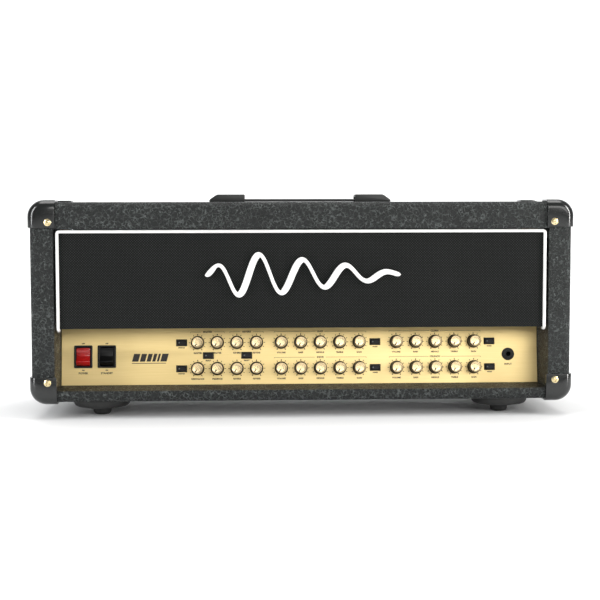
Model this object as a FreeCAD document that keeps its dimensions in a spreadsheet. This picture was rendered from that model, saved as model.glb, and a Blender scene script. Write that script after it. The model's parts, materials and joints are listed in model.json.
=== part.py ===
import FreeCAD, Part
import Sketcher
import math
import os
import re

# Valve guitar amplifier head. Millimetres, +Z up, the control side faces -Y,
# and the origin is under the centre of the cabinet, on the plane the feet stand on.

doc = FreeCAD.newDocument("AmpHead")
sheet = doc.addObject("Spreadsheet::Sheet", "Sizes")

sizes = {
    # cabinet
    "cabinet_width": 744,
    "cabinet_depth": 209,
    "cabinet_height": 274,
    "foot_height": 23,
    "corner_radius": 20,
    "edge_radius": 9,
    "vinyl_thickness": 1.2,
    "board_thickness": 18,
    "front_side_width": 32,
    "front_top_width": 36.7,
    "floor_thickness": 15.7,
    "cheek_depth": 70,
    "rail_depth": 24,
    # corners and their screws
    "corner_proud": 3,
    "corner_reach": 35,
    "screw_head": 5,
    "screw_rise": 1.6,
    "screw_inset": 27.5,
    "low_screw_inset": 22.5,
    "high_screw_inset": 25.5,
    "screw_margin": 9,
    # baffle, cloth and piping
    "baffle_half": 337,
    "baffle_low": 124.7,
    "baffle_high": 258,
    "baffle_thickness": 12,
    "cloth_thickness": 1,
    "cloth_recess": 5.5,
    "piping_radius": 2.2,
    "piping_bend": 3.2,
    # emblem
    "emblem_width": 270,
    "emblem_middle": 197,
    "emblem_swing": 36,
    "emblem_stroke": 8,
    "emblem_thickness": 4,
    "emblem_standoff": 2.5,
    # control panel: it leans back by panel_tilt from a line at panel_front, panel_foot
    "panel_tilt": 8,
    "panel_front": -46.5,
    "panel_foot": 38,
    "panel_half": 338.7,
    "panel_low": 1,
    "panel_high": 84,
    "panel_thickness": 1.5,
    # knobs
    "knob_pitch": 27.8,
    "master_start": -147,
    "left_start": -28.4,
    "right_start": 135.9,
    "upper_row": 60.3,
    "lower_row": 23.5,
    "knob_skirt": 9.6,
    "knob_cap": 8.4,
    "knob_rise": 17.6,
    "knob_gap": 1.2,
    "knob_skirt_rise": 2,
    "knob_draft": 0.3,
    "knob_chamfer": 0.8,
    "pointer_width": 1,
    "pointer_rise": 0.3,
    "shaft_radius": 3,
    "shaft_hole": 3.6,
    "shaft_bore": 3.07,
    "knob_rest_turn": 150,
    # potentiometers
    "pot_width": 16,
    "pot_depth": 8,
    "pot_gap": 0.3,
    # push buttons
    "button_offset": 22.8,
    "master_button": -131.9,
    "button_width": 13.2,
    "button_height": 7.4,
    "button_rise": 3.4,
    "button_root": 5.5,
    "button_round": 1.6,
    "button_gap": 0.4,
    "button_wall": 0.7,
    "bezel_lip": 1.1,
    "bezel_thickness": 1,
    "housing_depth": 9,
    # rocker switches
    "power_centre": -308.4,
    "standby_centre": -275.3,
    "rocker_row": 41.4,
    "rocker_width": 19,
    "rocker_reach": 13.2,
    "rocker_pivot": 3,
    "rocker_rest": 11,
    "rocker_bezel_width": 26,
    "rocker_bezel_height": 32,
    "rocker_bezel_thickness": 1.6,
    "rocker_housing_depth": 20,
    "pivot_pin": 1.5,
    "pivot_hole": 1.56,
    # jacks
    "jack_centre": 296.8,
    "jack_row": 41.5,
    "jack_bore": 3.25,
    "jack_nut": 9,
    "jack_nut_thickness": 3.5,
    "jack_barrel": 5.4,
    "jack_hole": 5.8,
    "jack_body": 20,
    "jack_depth": 26,
    # chassis
    "chassis_half": 334,
    "chassis_top": 123,
    "chassis_sheet": 1.5,
    "chassis_rear": 92,
    # rear
    "rear_face": 98,
    "socket_row": 82,
    "rear_panel_thickness": 2,
    "rear_gap": 2,
    "inlet_centre": -270,
    "inlet_width": 32,
    "inlet_height": 24,
    "inlet_depth": 24,
    "inlet_back": 4,
    "inlet_clearance": 0.2,
    "mouth_width": 24.6,
    "mouth_height": 16.4,
    "flange_width": 40,
    "flange_height": 30,
    "flange_thickness": 2.5,
    "prong_length": 11,
    "prong_width": 2,
    "prong_height": 4,
    "prong_pitch": 7,
    "slot_width": 6,
    "slot_height": 42,
    "slot_pitch": 16,
    "slot_low": 143,
    "slot_row_pitch": 52,
    "fuse_one": -220,
    "fuse_two": -185,
    "fuse_cap": 9,
    "fuse_cap_rise": 6,
    "fuse_body": 7,
    "fuse_depth": 36,
    # feet
    "foot_across": 281,
    "foot_along": 54.5,
    "foot_flange": 40,
    "foot_flange_low": 12.5,
    "foot_step": 21,
    "foot_step_low": 9,
    "foot_ball": 12.5,
    # carrying handle
    "cap_outer": 130,
    "cap_inner": 79,
    "cap_half_depth": 17,
    "cap_rise": 11,
    "cap_mouth": 6.8,
    "strap_end": 86,
    "strap_lift": 0.6,
    "strap_thickness": 3.8,
    "strap_half_depth": 12.5,
    "strap_joint_gap": 0.35,
    # inside
    "valve_base": 17,
}

for row, (alias, value) in enumerate(sizes.items(), start=1):
    sheet.set("A%d" % row, alias)
    sheet.set("B%d" % row, str(value))
    sheet.setAlias("B%d" % row, alias)
doc.recompute()


def read(alias):
    return float(sheet.get(alias))


def formula(text):
    """Turn 'cabinet_width / 2' into the sheet's own expression."""
    return re.sub(r"[a-z_]{3,}", lambda word: "Sizes." + word[0] if word[0] in sizes else word[0], str(text))


def bind(target, prop, text):
    target.setExpression(prop, formula(text))


def place(target, x="0", y="0", z="0"):
    for axis, text in zip("xyz", (x, y, z)):
        bind(target, "Placement.Base." + axis, text)
    return target


def turn(target, axis, angle):
    target.Placement = FreeCAD.Placement(FreeCAD.Vector(), FreeCAD.Rotation(axis, 90))
    bind(target, "Placement.Rotation.Angle", angle)
    return target


across = FreeCAD.Vector(1, 0, 0)
along = FreeCAD.Vector(0, 1, 0)
upward = FreeCAD.Vector(0, 0, 1)


def box(name, low, size):
    """A box from its low corner and its three sizes, each a formula."""
    solid = doc.addObject("Part::Box", name)
    for prop, text in zip(("Length", "Width", "Height"), size):
        bind(solid, prop, text)
    return place(solid, *low)


def centred_box(name, middle, size):
    """A box centred on middle in X and Y, standing on its Z."""
    x, y, z = middle
    return box(name, ("%s - (%s) / 2" % (x, size[0]), "%s - (%s) / 2" % (y, size[1]), z), size)


def rod(name, base, radius, length, axis=None):
    """A cylinder from base, along +Z or along another axis."""
    solid = doc.addObject("Part::Cylinder", name)
    bind(solid, "Radius", radius)
    bind(solid, "Height", length)
    if axis is along:
        turn(solid, across, "-90")
    if axis is across:
        turn(solid, along, "90")
    return place(solid, *base)


def compound(name, parts):
    group = doc.addObject("Part::Compound", name)
    group.Links = parts
    return group


def cut(name, base, tools):
    result = doc.addObject("Part::Cut", name)
    result.Base = base
    result.Tool = tools[0] if len(tools) == 1 else compound(name + "_tools", tools)
    return result


def fuse(name, parts):
    result = doc.addObject("Part::MultiFuse", name)
    result.Shapes = parts
    return result


def common(name, base, tool):
    result = doc.addObject("Part::Common", name)
    result.Base = base
    result.Tool = tool
    return result


def outline_sketch(body, name, plane, points):
    """A closed outline whose corners are (horizontal, vertical) formulas."""
    sketch = body.newObject("Sketcher::SketchObject", name)
    origin_plane = [item for item in body.Origin.OriginFeatures if item.Role == plane][0]
    sketch.AttachmentSupport = [(origin_plane, "")]
    sketch.MapMode = "FlatFace"
    start = [FreeCAD.Vector(5 * math.cos(i), 5 * math.sin(i), 0) for i in range(len(points))]
    edges = []
    for i in range(len(points)):
        edges.append(sketch.addGeometry(Part.LineSegment(start[i], start[(i + 1) % len(points)])))
    for i in range(len(points)):
        sketch.addConstraint(Sketcher.Constraint("Coincident", edges[i], 2, edges[(i + 1) % len(points)], 1))
    for edge, (horizontal, vertical) in zip(edges, points):
        for direction, text in (("DistanceX", horizontal), ("DistanceY", vertical)):
            number = sketch.addConstraint(Sketcher.Constraint(direction, -1, 1, edge, 1, 1.0))
            bind(sketch, "Constraints[%d]" % number, text)
    return sketch


def turned(name, points):
    """A body turned about +Z from a half outline of (radius, height) formulas."""
    body = doc.addObject("PartDesign::Body", name)
    sketch = outline_sketch(body, name + "_profile", "XZ_Plane", points)
    revolution = body.newObject("PartDesign::Revolution", name + "_turn")
    revolution.Profile = sketch
    revolution.ReferenceAxis = (sketch, ["V_Axis"])
    revolution.Angle = 360
    return body


def padded_outline(name, plane, points, length):
    """A body padded equally to both sides of an origin plane."""
    body = doc.addObject("PartDesign::Body", name)
    sketch = outline_sketch(body, name + "_outline", plane, points)
    pad = body.newObject("PartDesign::Pad", name + "_pad")
    pad.Profile = sketch
    pad.SideType = "Symmetric"
    bind(pad, "Length", length)
    return body


def rounded_block(name, width, depth, low, high, side_radius, rim_radius):
    """The cabinet's outer form: rounded along Y at the sides, and softly round the front and back."""
    half = "(%s) / 2" % width
    points = [("-" + half, low), (half, low), (half, high), ("-" + half, high)]
    body = padded_outline(name, "XZ_Plane", points, depth)
    doc.recompute()
    pad = body.Tip
    long_edges = []
    for number, edge in enumerate(pad.Shape.Edges, start=1):
        first, last = (vertex.Point for vertex in edge.Vertexes)
        if abs(first.y - last.y) > 1:
            long_edges.append("Edge%d" % number)
    sides = body.newObject("PartDesign::Fillet", name + "_sides")
    sides.Base = (pad, long_edges)
    bind(sides, "Radius", side_radius)
    doc.recompute()
    end = sides.Shape.BoundBox.YMax
    rim_edges = []
    for number, edge in enumerate(sides.Shape.Edges, start=1):
        if abs(abs(edge.CenterOfMass.y) - end) < 0.001:
            rim_edges.append("Edge%d" % number)
    rims = body.newObject("PartDesign::Fillet", name + "_rims")
    rims.Base = (sides, rim_edges)
    bind(rims, "Radius", rim_radius)
    return body


sub_parts = []


def keep(part, label):
    part.Label = label
    sub_parts.append(part)
    return part


def on_panel(target, x="0", height="0"):
    """Move what is drawn flat (X across, Y up the panel, Z outward) onto the leaning panel."""
    turn(target, across, "90 - panel_tilt")
    return place(
        target,
        x,
        "panel_front + (%s) * sin(panel_tilt * 1 deg)" % height,
        "panel_foot + (%s) * cos(panel_tilt * 1 deg)" % height,
    )


# ---- shared formulas ----

side_face = "(cabinet_width / 2)"
front_face = "(-cabinet_depth / 2)"
roof = "(foot_height + cabinet_height)"
opening_half = "(cabinet_width / 2 - front_side_width)"
opening_low = "(foot_height + floor_thickness)"
opening_high = "(foot_height + cabinet_height - front_top_width)"
cloth_face = "(-cabinet_depth / 2 + cloth_recess)"

knob_places = []
for column, (upper, lower) in enumerate(
    [
        ("master_one", "resonance"),
        ("master_two", "presence"),
        ("reverb_clean", "reverb_drive"),
        ("reverb_crunch", "reverb_lead"),
    ]
):
    column_x = "master_start + %d * knob_pitch" % column
    knob_places.append((upper + "_knob", column_x, "upper_row"))
    knob_places.append((lower + "_knob", column_x, "lower_row"))
for start, upper, lower in (("left_start", "lead", "drive"), ("right_start", "clean", "crunch")):
    for column, tone in enumerate(("volume", "bass", "middle", "treble", "gain")):
        column_x = "%s + %d * knob_pitch" % (start, column)
        knob_places.append(("%s_%s_knob" % (upper, tone), column_x, "upper_row"))
        knob_places.append(("%s_%s_knob" % (lower, tone), column_x, "lower_row"))

middle_row = "(upper_row + lower_row) / 2"
button_places = [
    ("program_button", "master_start - button_offset", "upper_row"),
    ("footswitch_button", "master_start - button_offset", "lower_row"),
    ("master_select_button", "master_button", middle_row),
    ("reverb_button", "master_start + 2.5 * knob_pitch", middle_row),
    ("lead_mode_button", "left_start + 4 * knob_pitch + button_offset", "upper_row"),
    ("drive_mode_button", "left_start + 4 * knob_pitch + button_offset", "lower_row"),
    ("clean_mode_button", "right_start + 4 * knob_pitch + button_offset", "upper_row"),
    ("crunch_mode_button", "right_start + 4 * knob_pitch + button_offset", "lower_row"),
]
rocker_places = [("power_rocker", "power_centre"), ("standby_rocker", "standby_centre")]


# ---- cabinet ----


def cabinet_boards():
    """Plywood boards, the cheeks behind the front and rear side strips, and the two top rails."""
    skin = "vinyl_thickness"
    block = rounded_block(
        "board_block",
        "cabinet_width - 2 * vinyl_thickness",
        "cabinet_depth - 2 * vinyl_thickness",
        "foot_height + vinyl_thickness",
        roof + " - vinyl_thickness",
        "corner_radius - vinyl_thickness",
        "edge_radius - vinyl_thickness",
    )
    outer = "(cabinet_width / 2 - vinyl_thickness)"
    inner = "(cabinet_width / 2 - vinyl_thickness - board_thickness)"
    front = "(-cabinet_depth / 2 + vinyl_thickness)"
    depth = "cabinet_depth - 2 * vinyl_thickness"
    low = "(foot_height + vinyl_thickness)"
    height = "cabinet_height - 2 * vinyl_thickness"
    floor_high = "(foot_height + floor_thickness - vinyl_thickness)"
    roof_low = "(foot_height + cabinet_height - vinyl_thickness - board_thickness)"
    boards = {
        "left_board": (("-" + outer, front, low), ("board_thickness", depth, height)),
        "right_board": ((inner, front, low), ("board_thickness", depth, height)),
        "floor_board": (("-" + inner, front, low), ("2 * " + inner, depth, floor_high + " - " + low)),
        "roof_board": (("-" + inner, front, roof_low), ("2 * " + inner, depth, "board_thickness")),
    }
    pieces = []
    for name, (corner, size) in boards.items():
        pieces.append(common(name, block, box(name + "_blank", corner, size)))
    cheek = "(%s - %s - %s)" % (inner, opening_half, skin)
    cheek_height = "%s - %s" % (roof_low, floor_high)
    rear_start = "cabinet_depth / 2 - vinyl_thickness - rail_depth"
    for side, x in (("left", "-" + inner), ("right", "(%s + %s)" % (opening_half, skin))):
        pieces.append(box(side + "_front_cheek", (x, front, floor_high), (cheek, "cheek_depth", cheek_height)))
        cheek_size = (cheek, "rail_depth", cheek_height)
        pieces.append(box(side + "_rear_cheek", (x, rear_start, floor_high), cheek_size))
    rail_low = "(%s + %s)" % (opening_high, skin)
    rail_size = ("2 * (%s + %s)" % (opening_half, skin), "rail_depth", "%s - %s" % (roof_low, rail_low))
    for side, y in (("front", front), ("rear", rear_start)):
        pieces.append(box(side + "_rail", ("-(%s + %s)" % (opening_half, skin), y, rail_low), rail_size))
    return compound("boards", pieces)


def vinyl_covering():
    """One skin over the outside, the front and back rims and the lips of both openings."""
    outer = doc.getObject("cabinet_block")
    shell = cut("covering_shell", outer, [doc.getObject("board_block")])
    skin = "vinyl_thickness"
    through = box(
        "opening_blank",
        ("-" + opening_half, "-cabinet_depth", opening_low),
        ("2 * " + opening_half, "2 * cabinet_depth", "%s - %s" % (opening_high, opening_low)),
    )
    lips = []
    rear_start = "cabinet_depth / 2 - vinyl_thickness - rail_depth"
    for name, y, depth in (
        ("front_lip", front_face + " + vinyl_thickness", "cheek_depth"),
        ("rear_lip", rear_start, "rail_depth"),
    ):
        corner = ("-%s - %s" % (opening_half, skin), y, "%s - %s" % (opening_low, skin))
        height = "%s - %s + 2 * %s" % (opening_high, opening_low, skin)
        size = ("2 * (%s + %s)" % (opening_half, skin), depth, height)
        lips.append(box(name, corner, size))
    return cut("covering", fuse("covering_whole", [shell] + lips), [through])


def corner_protectors():
    """Eight three-legged shells that wrap the cabinet's corners."""
    outer = rounded_block(
        "protector_block",
        "cabinet_width + 2 * corner_proud",
        "cabinet_depth + 2 * corner_proud",
        "foot_height - corner_proud",
        roof + " + corner_proud",
        "corner_radius + corner_proud",
        "edge_radius + corner_proud",
    )
    shell = cut("protector_shell", outer, [doc.getObject("cabinet_block")])
    reach = "(corner_reach + corner_proud)"
    cubes = []
    for x_side, x in (("left", "-%s - corner_proud" % side_face), ("right", side_face + " - corner_reach")):
        back = "cabinet_depth / 2 - corner_reach"
        for y_side, y in (("front", front_face + " - corner_proud"), ("back", back)):
            for z_side, z in (("low", "foot_height - corner_proud"), ("high", roof + " - corner_reach")):
                name = "%s_%s_%s_corner" % (x_side, y_side, z_side)
                cubes.append(box(name, (x, y, z), (reach, reach, reach)))
    return common("protectors", shell, compound("corner_cubes", cubes))


def screw(name, x, y, z, facing):
    """A domed screw head that sits on a face; facing is the outward axis and its sign."""
    head = turned(
        name,
        [
            ("0", "0"),
            ("screw_head", "0"),
            ("screw_head", "screw_rise * 0.25"),
            ("screw_head * 0.72", "screw_rise * 0.8"),
            ("screw_head * 0.3", "screw_rise"),
            ("0", "screw_rise"),
        ],
    )
    axis, sign = facing
    if axis is along:
        turn(head, across, "%d" % (-90 * sign))
    if axis is across:
        turn(head, along, "%d" % (90 * sign))
    return place(head, x, y, z)


def screws():
    """Two heads on each corner protector, and those that hold the rear panel and the chassis wall."""
    heads = []
    rows = (
        ("low_screw_inset", "foot_height + screw_inset"),
        ("high_screw_inset", roof + " - screw_inset"),
    )
    for x_sign in (-1, 1):
        for inset, z in rows:
            for y_sign in (-1, 1):
                tag = "screw_%d" % len(heads)
                x = "%d * (%s - (%s))" % (x_sign, side_face, inset)
                y = "%d * (cabinet_depth / 2 + corner_proud)" % y_sign
                heads.append(screw(tag + "_face", x, y, z, (along, y_sign)))
                x = "%d * (%s + corner_proud)" % (x_sign, side_face)
                y = "%d * (cabinet_depth / 2 - screw_inset)" % y_sign
                heads.append(screw(tag + "_side", x, y, z, (across, x_sign)))
    rear_rows = (
        ("chassis_rear", opening_low + " + screw_margin"),
        ("rear_face", "chassis_top + rear_gap + screw_margin"),
        ("rear_face", opening_high + " - screw_margin"),
    )
    for x in (-1, -0.34, 0.34, 1):
        for face, z in rear_rows:
            spot = ("%g * (chassis_half - screw_margin)" % x, face, z)
            heads.append(screw("rear_screw_%d" % len(heads), *spot, (along, 1)))
    return compound("screw_heads", heads)


def rubber_feet():
    feet = []
    for x in (-1, 1):
        for y in (-1, 1):
            foot = turned(
                "foot_%d" % len(feet),
                [
                    ("0", "0"),
                    ("foot_ball * 0.66", "0"),
                    ("foot_ball * 0.9", "foot_ball * 0.16"),
                    ("foot_ball", "foot_ball * 0.44"),
                    ("foot_ball", "foot_step_low"),
                    ("foot_step - 1.5", "foot_step_low"),
                    ("foot_step", "foot_flange_low - 1"),
                    ("foot_flange - 4.5", "foot_flange_low"),
                    ("foot_flange - 1", "foot_flange_low + 3.5"),
                    ("foot_flange", "foot_height - 4"),
                    ("foot_flange", "foot_height"),
                    ("0", "foot_height"),
                ],
            )
            feet.append(place(foot, "%d * foot_across" % x, "%d * foot_along" % y))
    return compound("feet", feet)


# ---- front ----


def front_baffle():
    return box(
        "baffle",
        ("-baffle_half", cloth_face + " + cloth_thickness", "baffle_low"),
        ("2 * baffle_half", "baffle_thickness", "baffle_high - baffle_low"),
    )


def grille_cloth():
    """A cloth sheet over the face of the baffle, turned in over its four edges."""
    wrap = "cloth_thickness"
    outside = box(
        "cloth_outside",
        ("-baffle_half - " + wrap, cloth_face, "baffle_low - " + wrap),
        (
            "2 * (baffle_half + %s)" % wrap,
            "cloth_thickness + baffle_thickness",
            "baffle_high - baffle_low + 2 * " + wrap,
        ),
    )
    hollow = box(
        "cloth_hollow",
        ("-baffle_half", cloth_face + " + cloth_thickness", "baffle_low"),
        ("2 * baffle_half", "2 * baffle_thickness", "baffle_high - baffle_low"),
    )
    return cut("cloth", outside, [hollow])


def white_piping():
    """A round bead up one side of the cloth, across the top and down the other, its ends tucked under."""
    radius = read("piping_radius")
    bend = read("piping_bend")
    face = -read("cabinet_depth") / 2 + read("cloth_recess") - radius
    side = read("baffle_half") - radius
    top = read("baffle_high") - radius + read("cloth_thickness")
    under = read("baffle_low") - read("cloth_thickness") - radius
    tuck = 2 * radius
    corner = bend * (1 - math.sqrt(0.5))
    small = tuck * (1 - math.sqrt(0.5))
    point = FreeCAD.Vector
    edges = []
    for sign in (-1, 1):
        x = sign * side
        arm = [
            Part.LineSegment(point(x, face + 2 * tuck, under), point(x, face + tuck, under)),
            Part.Arc(
                point(x, face + tuck, under),
                point(x, face + small, under + small),
                point(x, face, under + tuck),
            ),
            Part.LineSegment(point(x, face, under + tuck), point(x, face, top - bend)),
            Part.Arc(
                point(x, face, top - bend),
                point(x - sign * corner, face, top - corner),
                point(x - sign * bend, face, top),
            ),
        ]
        edges.append([piece.toShape() for piece in arm])
    bridge = Part.LineSegment(point(-side + bend, face, top), point(side - bend, face, top)).toShape()
    spine = Part.Wire(edges[0] + [bridge] + edges[1][::-1])
    ring = Part.makeCircle(radius, point(-side, face + 2 * tuck, under), point(0, -1, 0))
    bead = doc.addObject("Part::Feature", "piping")
    bead.Shape = spine.makePipeShell([Part.Wire(ring)], True, True)
    return bead


def front_emblem():
    """A sound wave that dies away, cut from plate, on four pegs that stand on the cloth."""
    width = read("emblem_width")
    swing = read("emblem_swing")
    half_stroke = read("emblem_stroke") / 2
    middle = read("emblem_middle")
    steps = 60
    waves = 4.5
    upper = []
    lower = []
    for step in range(steps + 1):
        part = step / steps
        x = (part - 0.5) * width
        phase = 2 * math.pi * waves * part
        fade = swing * math.sin(math.pi * min(1, 4 * part) / 2) * (1 - part) ** 0.8
        z = middle + fade * math.sin(phase)
        slope = fade * math.cos(phase) * 2 * math.pi * waves / width
        reach = math.sqrt(1 + slope * slope)
        upper.append(FreeCAD.Vector(x - half_stroke * slope / reach, 0, z + half_stroke / reach))
        lower.append(FreeCAD.Vector(x + half_stroke * slope / reach, 0, z - half_stroke / reach))
    curves = []
    for points in (upper, lower[::-1]):
        curve = Part.BSplineCurve()
        curve.interpolate(points)
        curves.append(curve.toShape())
    ends = [
        Part.makeLine(upper[-1], lower[-1]),
        Part.makeLine(lower[0], upper[0]),
    ]
    face = Part.Face(Part.Wire([curves[0], ends[0], curves[1], ends[1]]))
    thickness = read("emblem_thickness")
    standoff = read("emblem_standoff")
    front = -read("cabinet_depth") / 2 + read("cloth_recess") - standoff - thickness
    shape = face.extrude(FreeCAD.Vector(0, thickness, 0))
    for step in (7, 20, 33, 46):
        peg_centre = (upper[step] + lower[step]) / 2
        peg_start = FreeCAD.Vector(peg_centre.x, thickness / 2, peg_centre.z)
        shape = shape.fuse(Part.makeCylinder(half_stroke / 2, thickness / 2 + standoff, peg_start, along))
    emblem = doc.addObject("Part::Feature", "emblem")
    emblem.Shape = shape
    emblem.Placement = FreeCAD.Placement(FreeCAD.Vector(0, front, 0), FreeCAD.Rotation())
    return emblem


# ---- control panel and what it carries ----


def panel_cutters():
    """Everything that is cut through the panel and through the chassis wall behind it."""
    deep = "chassis_sheet + panel_thickness"
    low = "-2 * (%s)" % deep
    tall = "3 * (%s)" % deep
    tools = []
    for name, x, row in knob_places:
        tools.append(rod(name + "_hole", (x, row, low), "shaft_hole", tall))
    wall = "2 * (button_gap + button_wall + 0.1)"
    for name, x, row in button_places:
        size = ("button_width + " + wall, "button_height + " + wall, tall)
        tools.append(centred_box(name + "_hole", (x, row, low), size))
    for name, x in rocker_places:
        size = ("rocker_bezel_width - 2.8", "rocker_bezel_height - 2.8", tall)
        tools.append(centred_box(name + "_hole", (x, "rocker_row", low), size))
    tools.append(rod("input_hole", ("jack_centre", "jack_row", low), "jack_hole", tall))
    return compound("panel_cutters", tools)


def control_panel(cutters):
    sheet_blank = box(
        "panel_blank",
        ("-panel_half", "panel_low", "-panel_thickness"),
        ("2 * panel_half", "panel_high - panel_low", "panel_thickness"),
    )
    return on_panel(cut("panel", sheet_blank, [cutters]))


def knob(name, x, row):
    """A skirt and a cap with a raised pointer line that rests at the minimum, on their own shaft."""
    skirt_high = "knob_gap + knob_skirt_rise + 1"
    skirt = turned(
        name + "_skirt",
        [
            ("0", "knob_gap"),
            ("knob_skirt", "knob_gap"),
            ("knob_skirt", "knob_gap + knob_skirt_rise"),
            ("knob_cap + knob_draft", skirt_high),
            ("0", skirt_high),
        ],
    )
    cap = turned(
        name + "_grip",
        [
            ("0", skirt_high),
            ("knob_cap + knob_draft", skirt_high),
            ("knob_cap", "knob_rise - knob_chamfer"),
            ("knob_cap - knob_chamfer", "knob_rise"),
            ("0", "knob_rise"),
        ],
    )
    pointer = box(
        name + "_pointer",
        ("-pointer_width / 2", "knob_cap * 0.3", "knob_rise"),
        ("pointer_width", "knob_cap * 0.55", "pointer_rise"),
    )
    marked = turn(compound(name + "_marked", [skirt, cap, pointer]), upward, "knob_rest_turn")
    inner_end = "(panel_thickness + chassis_sheet + pot_gap + pot_depth)"
    shaft = rod(name + "_shaft", ("0", "0", "-" + inner_end), "shaft_radius", inner_end + " + knob_gap")
    return on_panel(compound(name, [marked, shaft]), x, row)


def button(name, x, row):
    """A rounded cap on a straight stem that slides in its housing."""
    half_width = "button_width / 2"
    half_height = "button_height / 2"
    points = [("-" + half_width, "-" + half_height), (half_width, "-" + half_height)]
    points += [(half_width, half_height), ("-" + half_width, half_height)]
    body = doc.addObject("PartDesign::Body", name + "_cap")
    pad = body.newObject("PartDesign::Pad", name + "_pad")
    pad.Profile = outline_sketch(body, name + "_outline", "XY_Plane", points)
    bind(pad, "Length", "button_rise + button_root")
    doc.recompute()
    upright = []
    for number, edge in enumerate(pad.Shape.Edges, start=1):
        if edge.BoundBox.ZLength > 1:
            upright.append("Edge%d" % number)
    corners = body.newObject("PartDesign::Fillet", name + "_corners")
    corners.Base = (pad, upright)
    bind(corners, "Radius", "button_round")
    body.Tip = corners
    place(body, z="-button_root")
    return on_panel(compound(name + "_set", [body]), x, row)


def rocker(name, x):
    """A V-topped paddle trimmed to an arc about its pivot pin, tilted to its off stop."""
    top = [("-16", "9.2"), ("0", "5.4"), ("16", "9.2"), ("11", "-5"), ("-11", "-5")]
    blank = padded_outline(name + "_blank", "YZ_Plane", top, "rocker_width")
    round_ends = rod(name + "_round", ("-rocker_width / 2", "0", "0"), "rocker_reach", "rocker_width", across)
    paddle = common(name + "_paddle", blank, round_ends)
    pin_half = "(rocker_bezel_width / 2 - 2)"
    pin = rod(name + "_pin", ("-" + pin_half, "0", "0"), "pivot_pin", "2 * " + pin_half, across)
    whole = turn(fuse(name + "_whole", [paddle, pin]), across, "-rocker_rest")
    place(whole, z="-rocker_pivot")
    return on_panel(compound(name + "_set", [whole]), x, "rocker_row")


def switch_housings():
    """The bezel and box of each push button and each rocker."""
    housings = []
    gap = "2 * button_gap"
    wall = "2 * (button_gap + button_wall)"
    for name, x, row in button_places:
        width = "button_width + " + wall
        height = "button_height + " + wall
        shell = fuse(
            name + "_shell",
            [
                centred_box(name + "_barrel", (x, row, "-housing_depth"), (width, height, "housing_depth")),
                centred_box(
                    name + "_bezel",
                    (x, row, "0"),
                    ("button_width + 2 * bezel_lip", "button_height + 2 * bezel_lip", "bezel_thickness"),
                ),
            ],
        )
        pocket_depth = "housing_depth"
        pocket = centred_box(
            name + "_pocket",
            (x, row, "-housing_depth + 0.8"),
            ("button_width + " + gap, "button_height + " + gap, pocket_depth + " + bezel_thickness"),
        )
        housings.append(cut(name + "_housing", shell, [pocket]))
    for name, x in rocker_places:
        width = "rocker_bezel_width - 3"
        height = "rocker_bezel_height - 3"
        middle = (x, "rocker_row", "-rocker_housing_depth")
        bezel_size = ("rocker_bezel_width", "rocker_bezel_height", "rocker_bezel_thickness")
        shell = fuse(
            name + "_shell",
            [
                centred_box(name + "_box", middle, (width, height, "rocker_housing_depth")),
                centred_box(name + "_bezel", (x, "rocker_row", "0"), bezel_size),
            ],
        )
        pocket_size = ("rocker_width + 0.8", "2 * rocker_reach + 0.8", "2 * rocker_housing_depth")
        pocket = centred_box(name + "_pocket", (x, "rocker_row", "-rocker_housing_depth + 2"), pocket_size)
        bore_start = ("%s - rocker_bezel_width / 2 + 1.7" % x, "rocker_row", "-rocker_pivot")
        bore = rod(name + "_bore", bore_start, "pivot_hole", "rocker_bezel_width - 3.4", across)
        housings.append(cut(name + "_housing", shell, [pocket, bore]))
    return on_panel(compound("housings", housings))


def potentiometers():
    bodies = []
    back = "-(panel_thickness + chassis_sheet + pot_gap + pot_depth)"
    for name, x, row in knob_places:
        can = centred_box(name + "_can", (x, row, back), ("pot_width", "pot_width", "pot_depth"))
        bore = rod(name + "_bore", (x, row, "-pot_depth * 2"), "shaft_bore", "pot_depth * 2")
        bodies.append(cut(name + "_pot", can, [bore]))
    return on_panel(compound("pots", bodies))


def jack(name, nut="jack_nut"):
    """A quarter-inch jack drawn along +Z: nut outside the panel, barrel through it, body behind."""
    flat = "panel_thickness + chassis_sheet"
    whole = fuse(
        name + "_whole",
        [
            rod(name + "_nut", ("0", "0", "0"), nut, "jack_nut_thickness"),
            rod(name + "_barrel", ("0", "0", "-" + "(%s)" % flat), "jack_barrel", flat),
            centred_box(
                name + "_body",
                ("0", "0", "-jack_depth"),
                ("jack_body", "jack_body", "jack_depth - (%s) - pot_gap" % flat),
            ),
            rod(name + "_neck", ("0", "0", "-(%s) - pot_gap" % flat), "jack_barrel", "pot_gap"),
        ],
    )
    bore = rod(name + "_bore", ("0", "0", "-jack_depth + 2"), "jack_bore", "jack_depth + jack_nut_thickness")
    return cut(name + "_drilled", whole, [bore])


# ---- chassis, rear and inside ----


def wall_line(height, inward):
    """Y of a plane behind the panel face, at a given height."""
    angle = "panel_tilt * 1 deg"
    return "panel_front + (%s - panel_foot) * tan(%s) + (%s) / cos(%s)" % (height, angle, inward, angle)


rear_jacks = [
    ("speaker_one", 40),
    ("speaker_two", 75),
    ("loop_send", 150),
    ("loop_return", 185),
    ("pedal", 240),
]


def wall_sheet(name, left, right, low, high):
    """A flat piece of the chassis rear wall."""
    start = (left, "chassis_rear - chassis_sheet", low)
    return box(name, start, ("%s - (%s)" % (right, left), "chassis_sheet", "%s - (%s)" % (high, low)))


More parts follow.
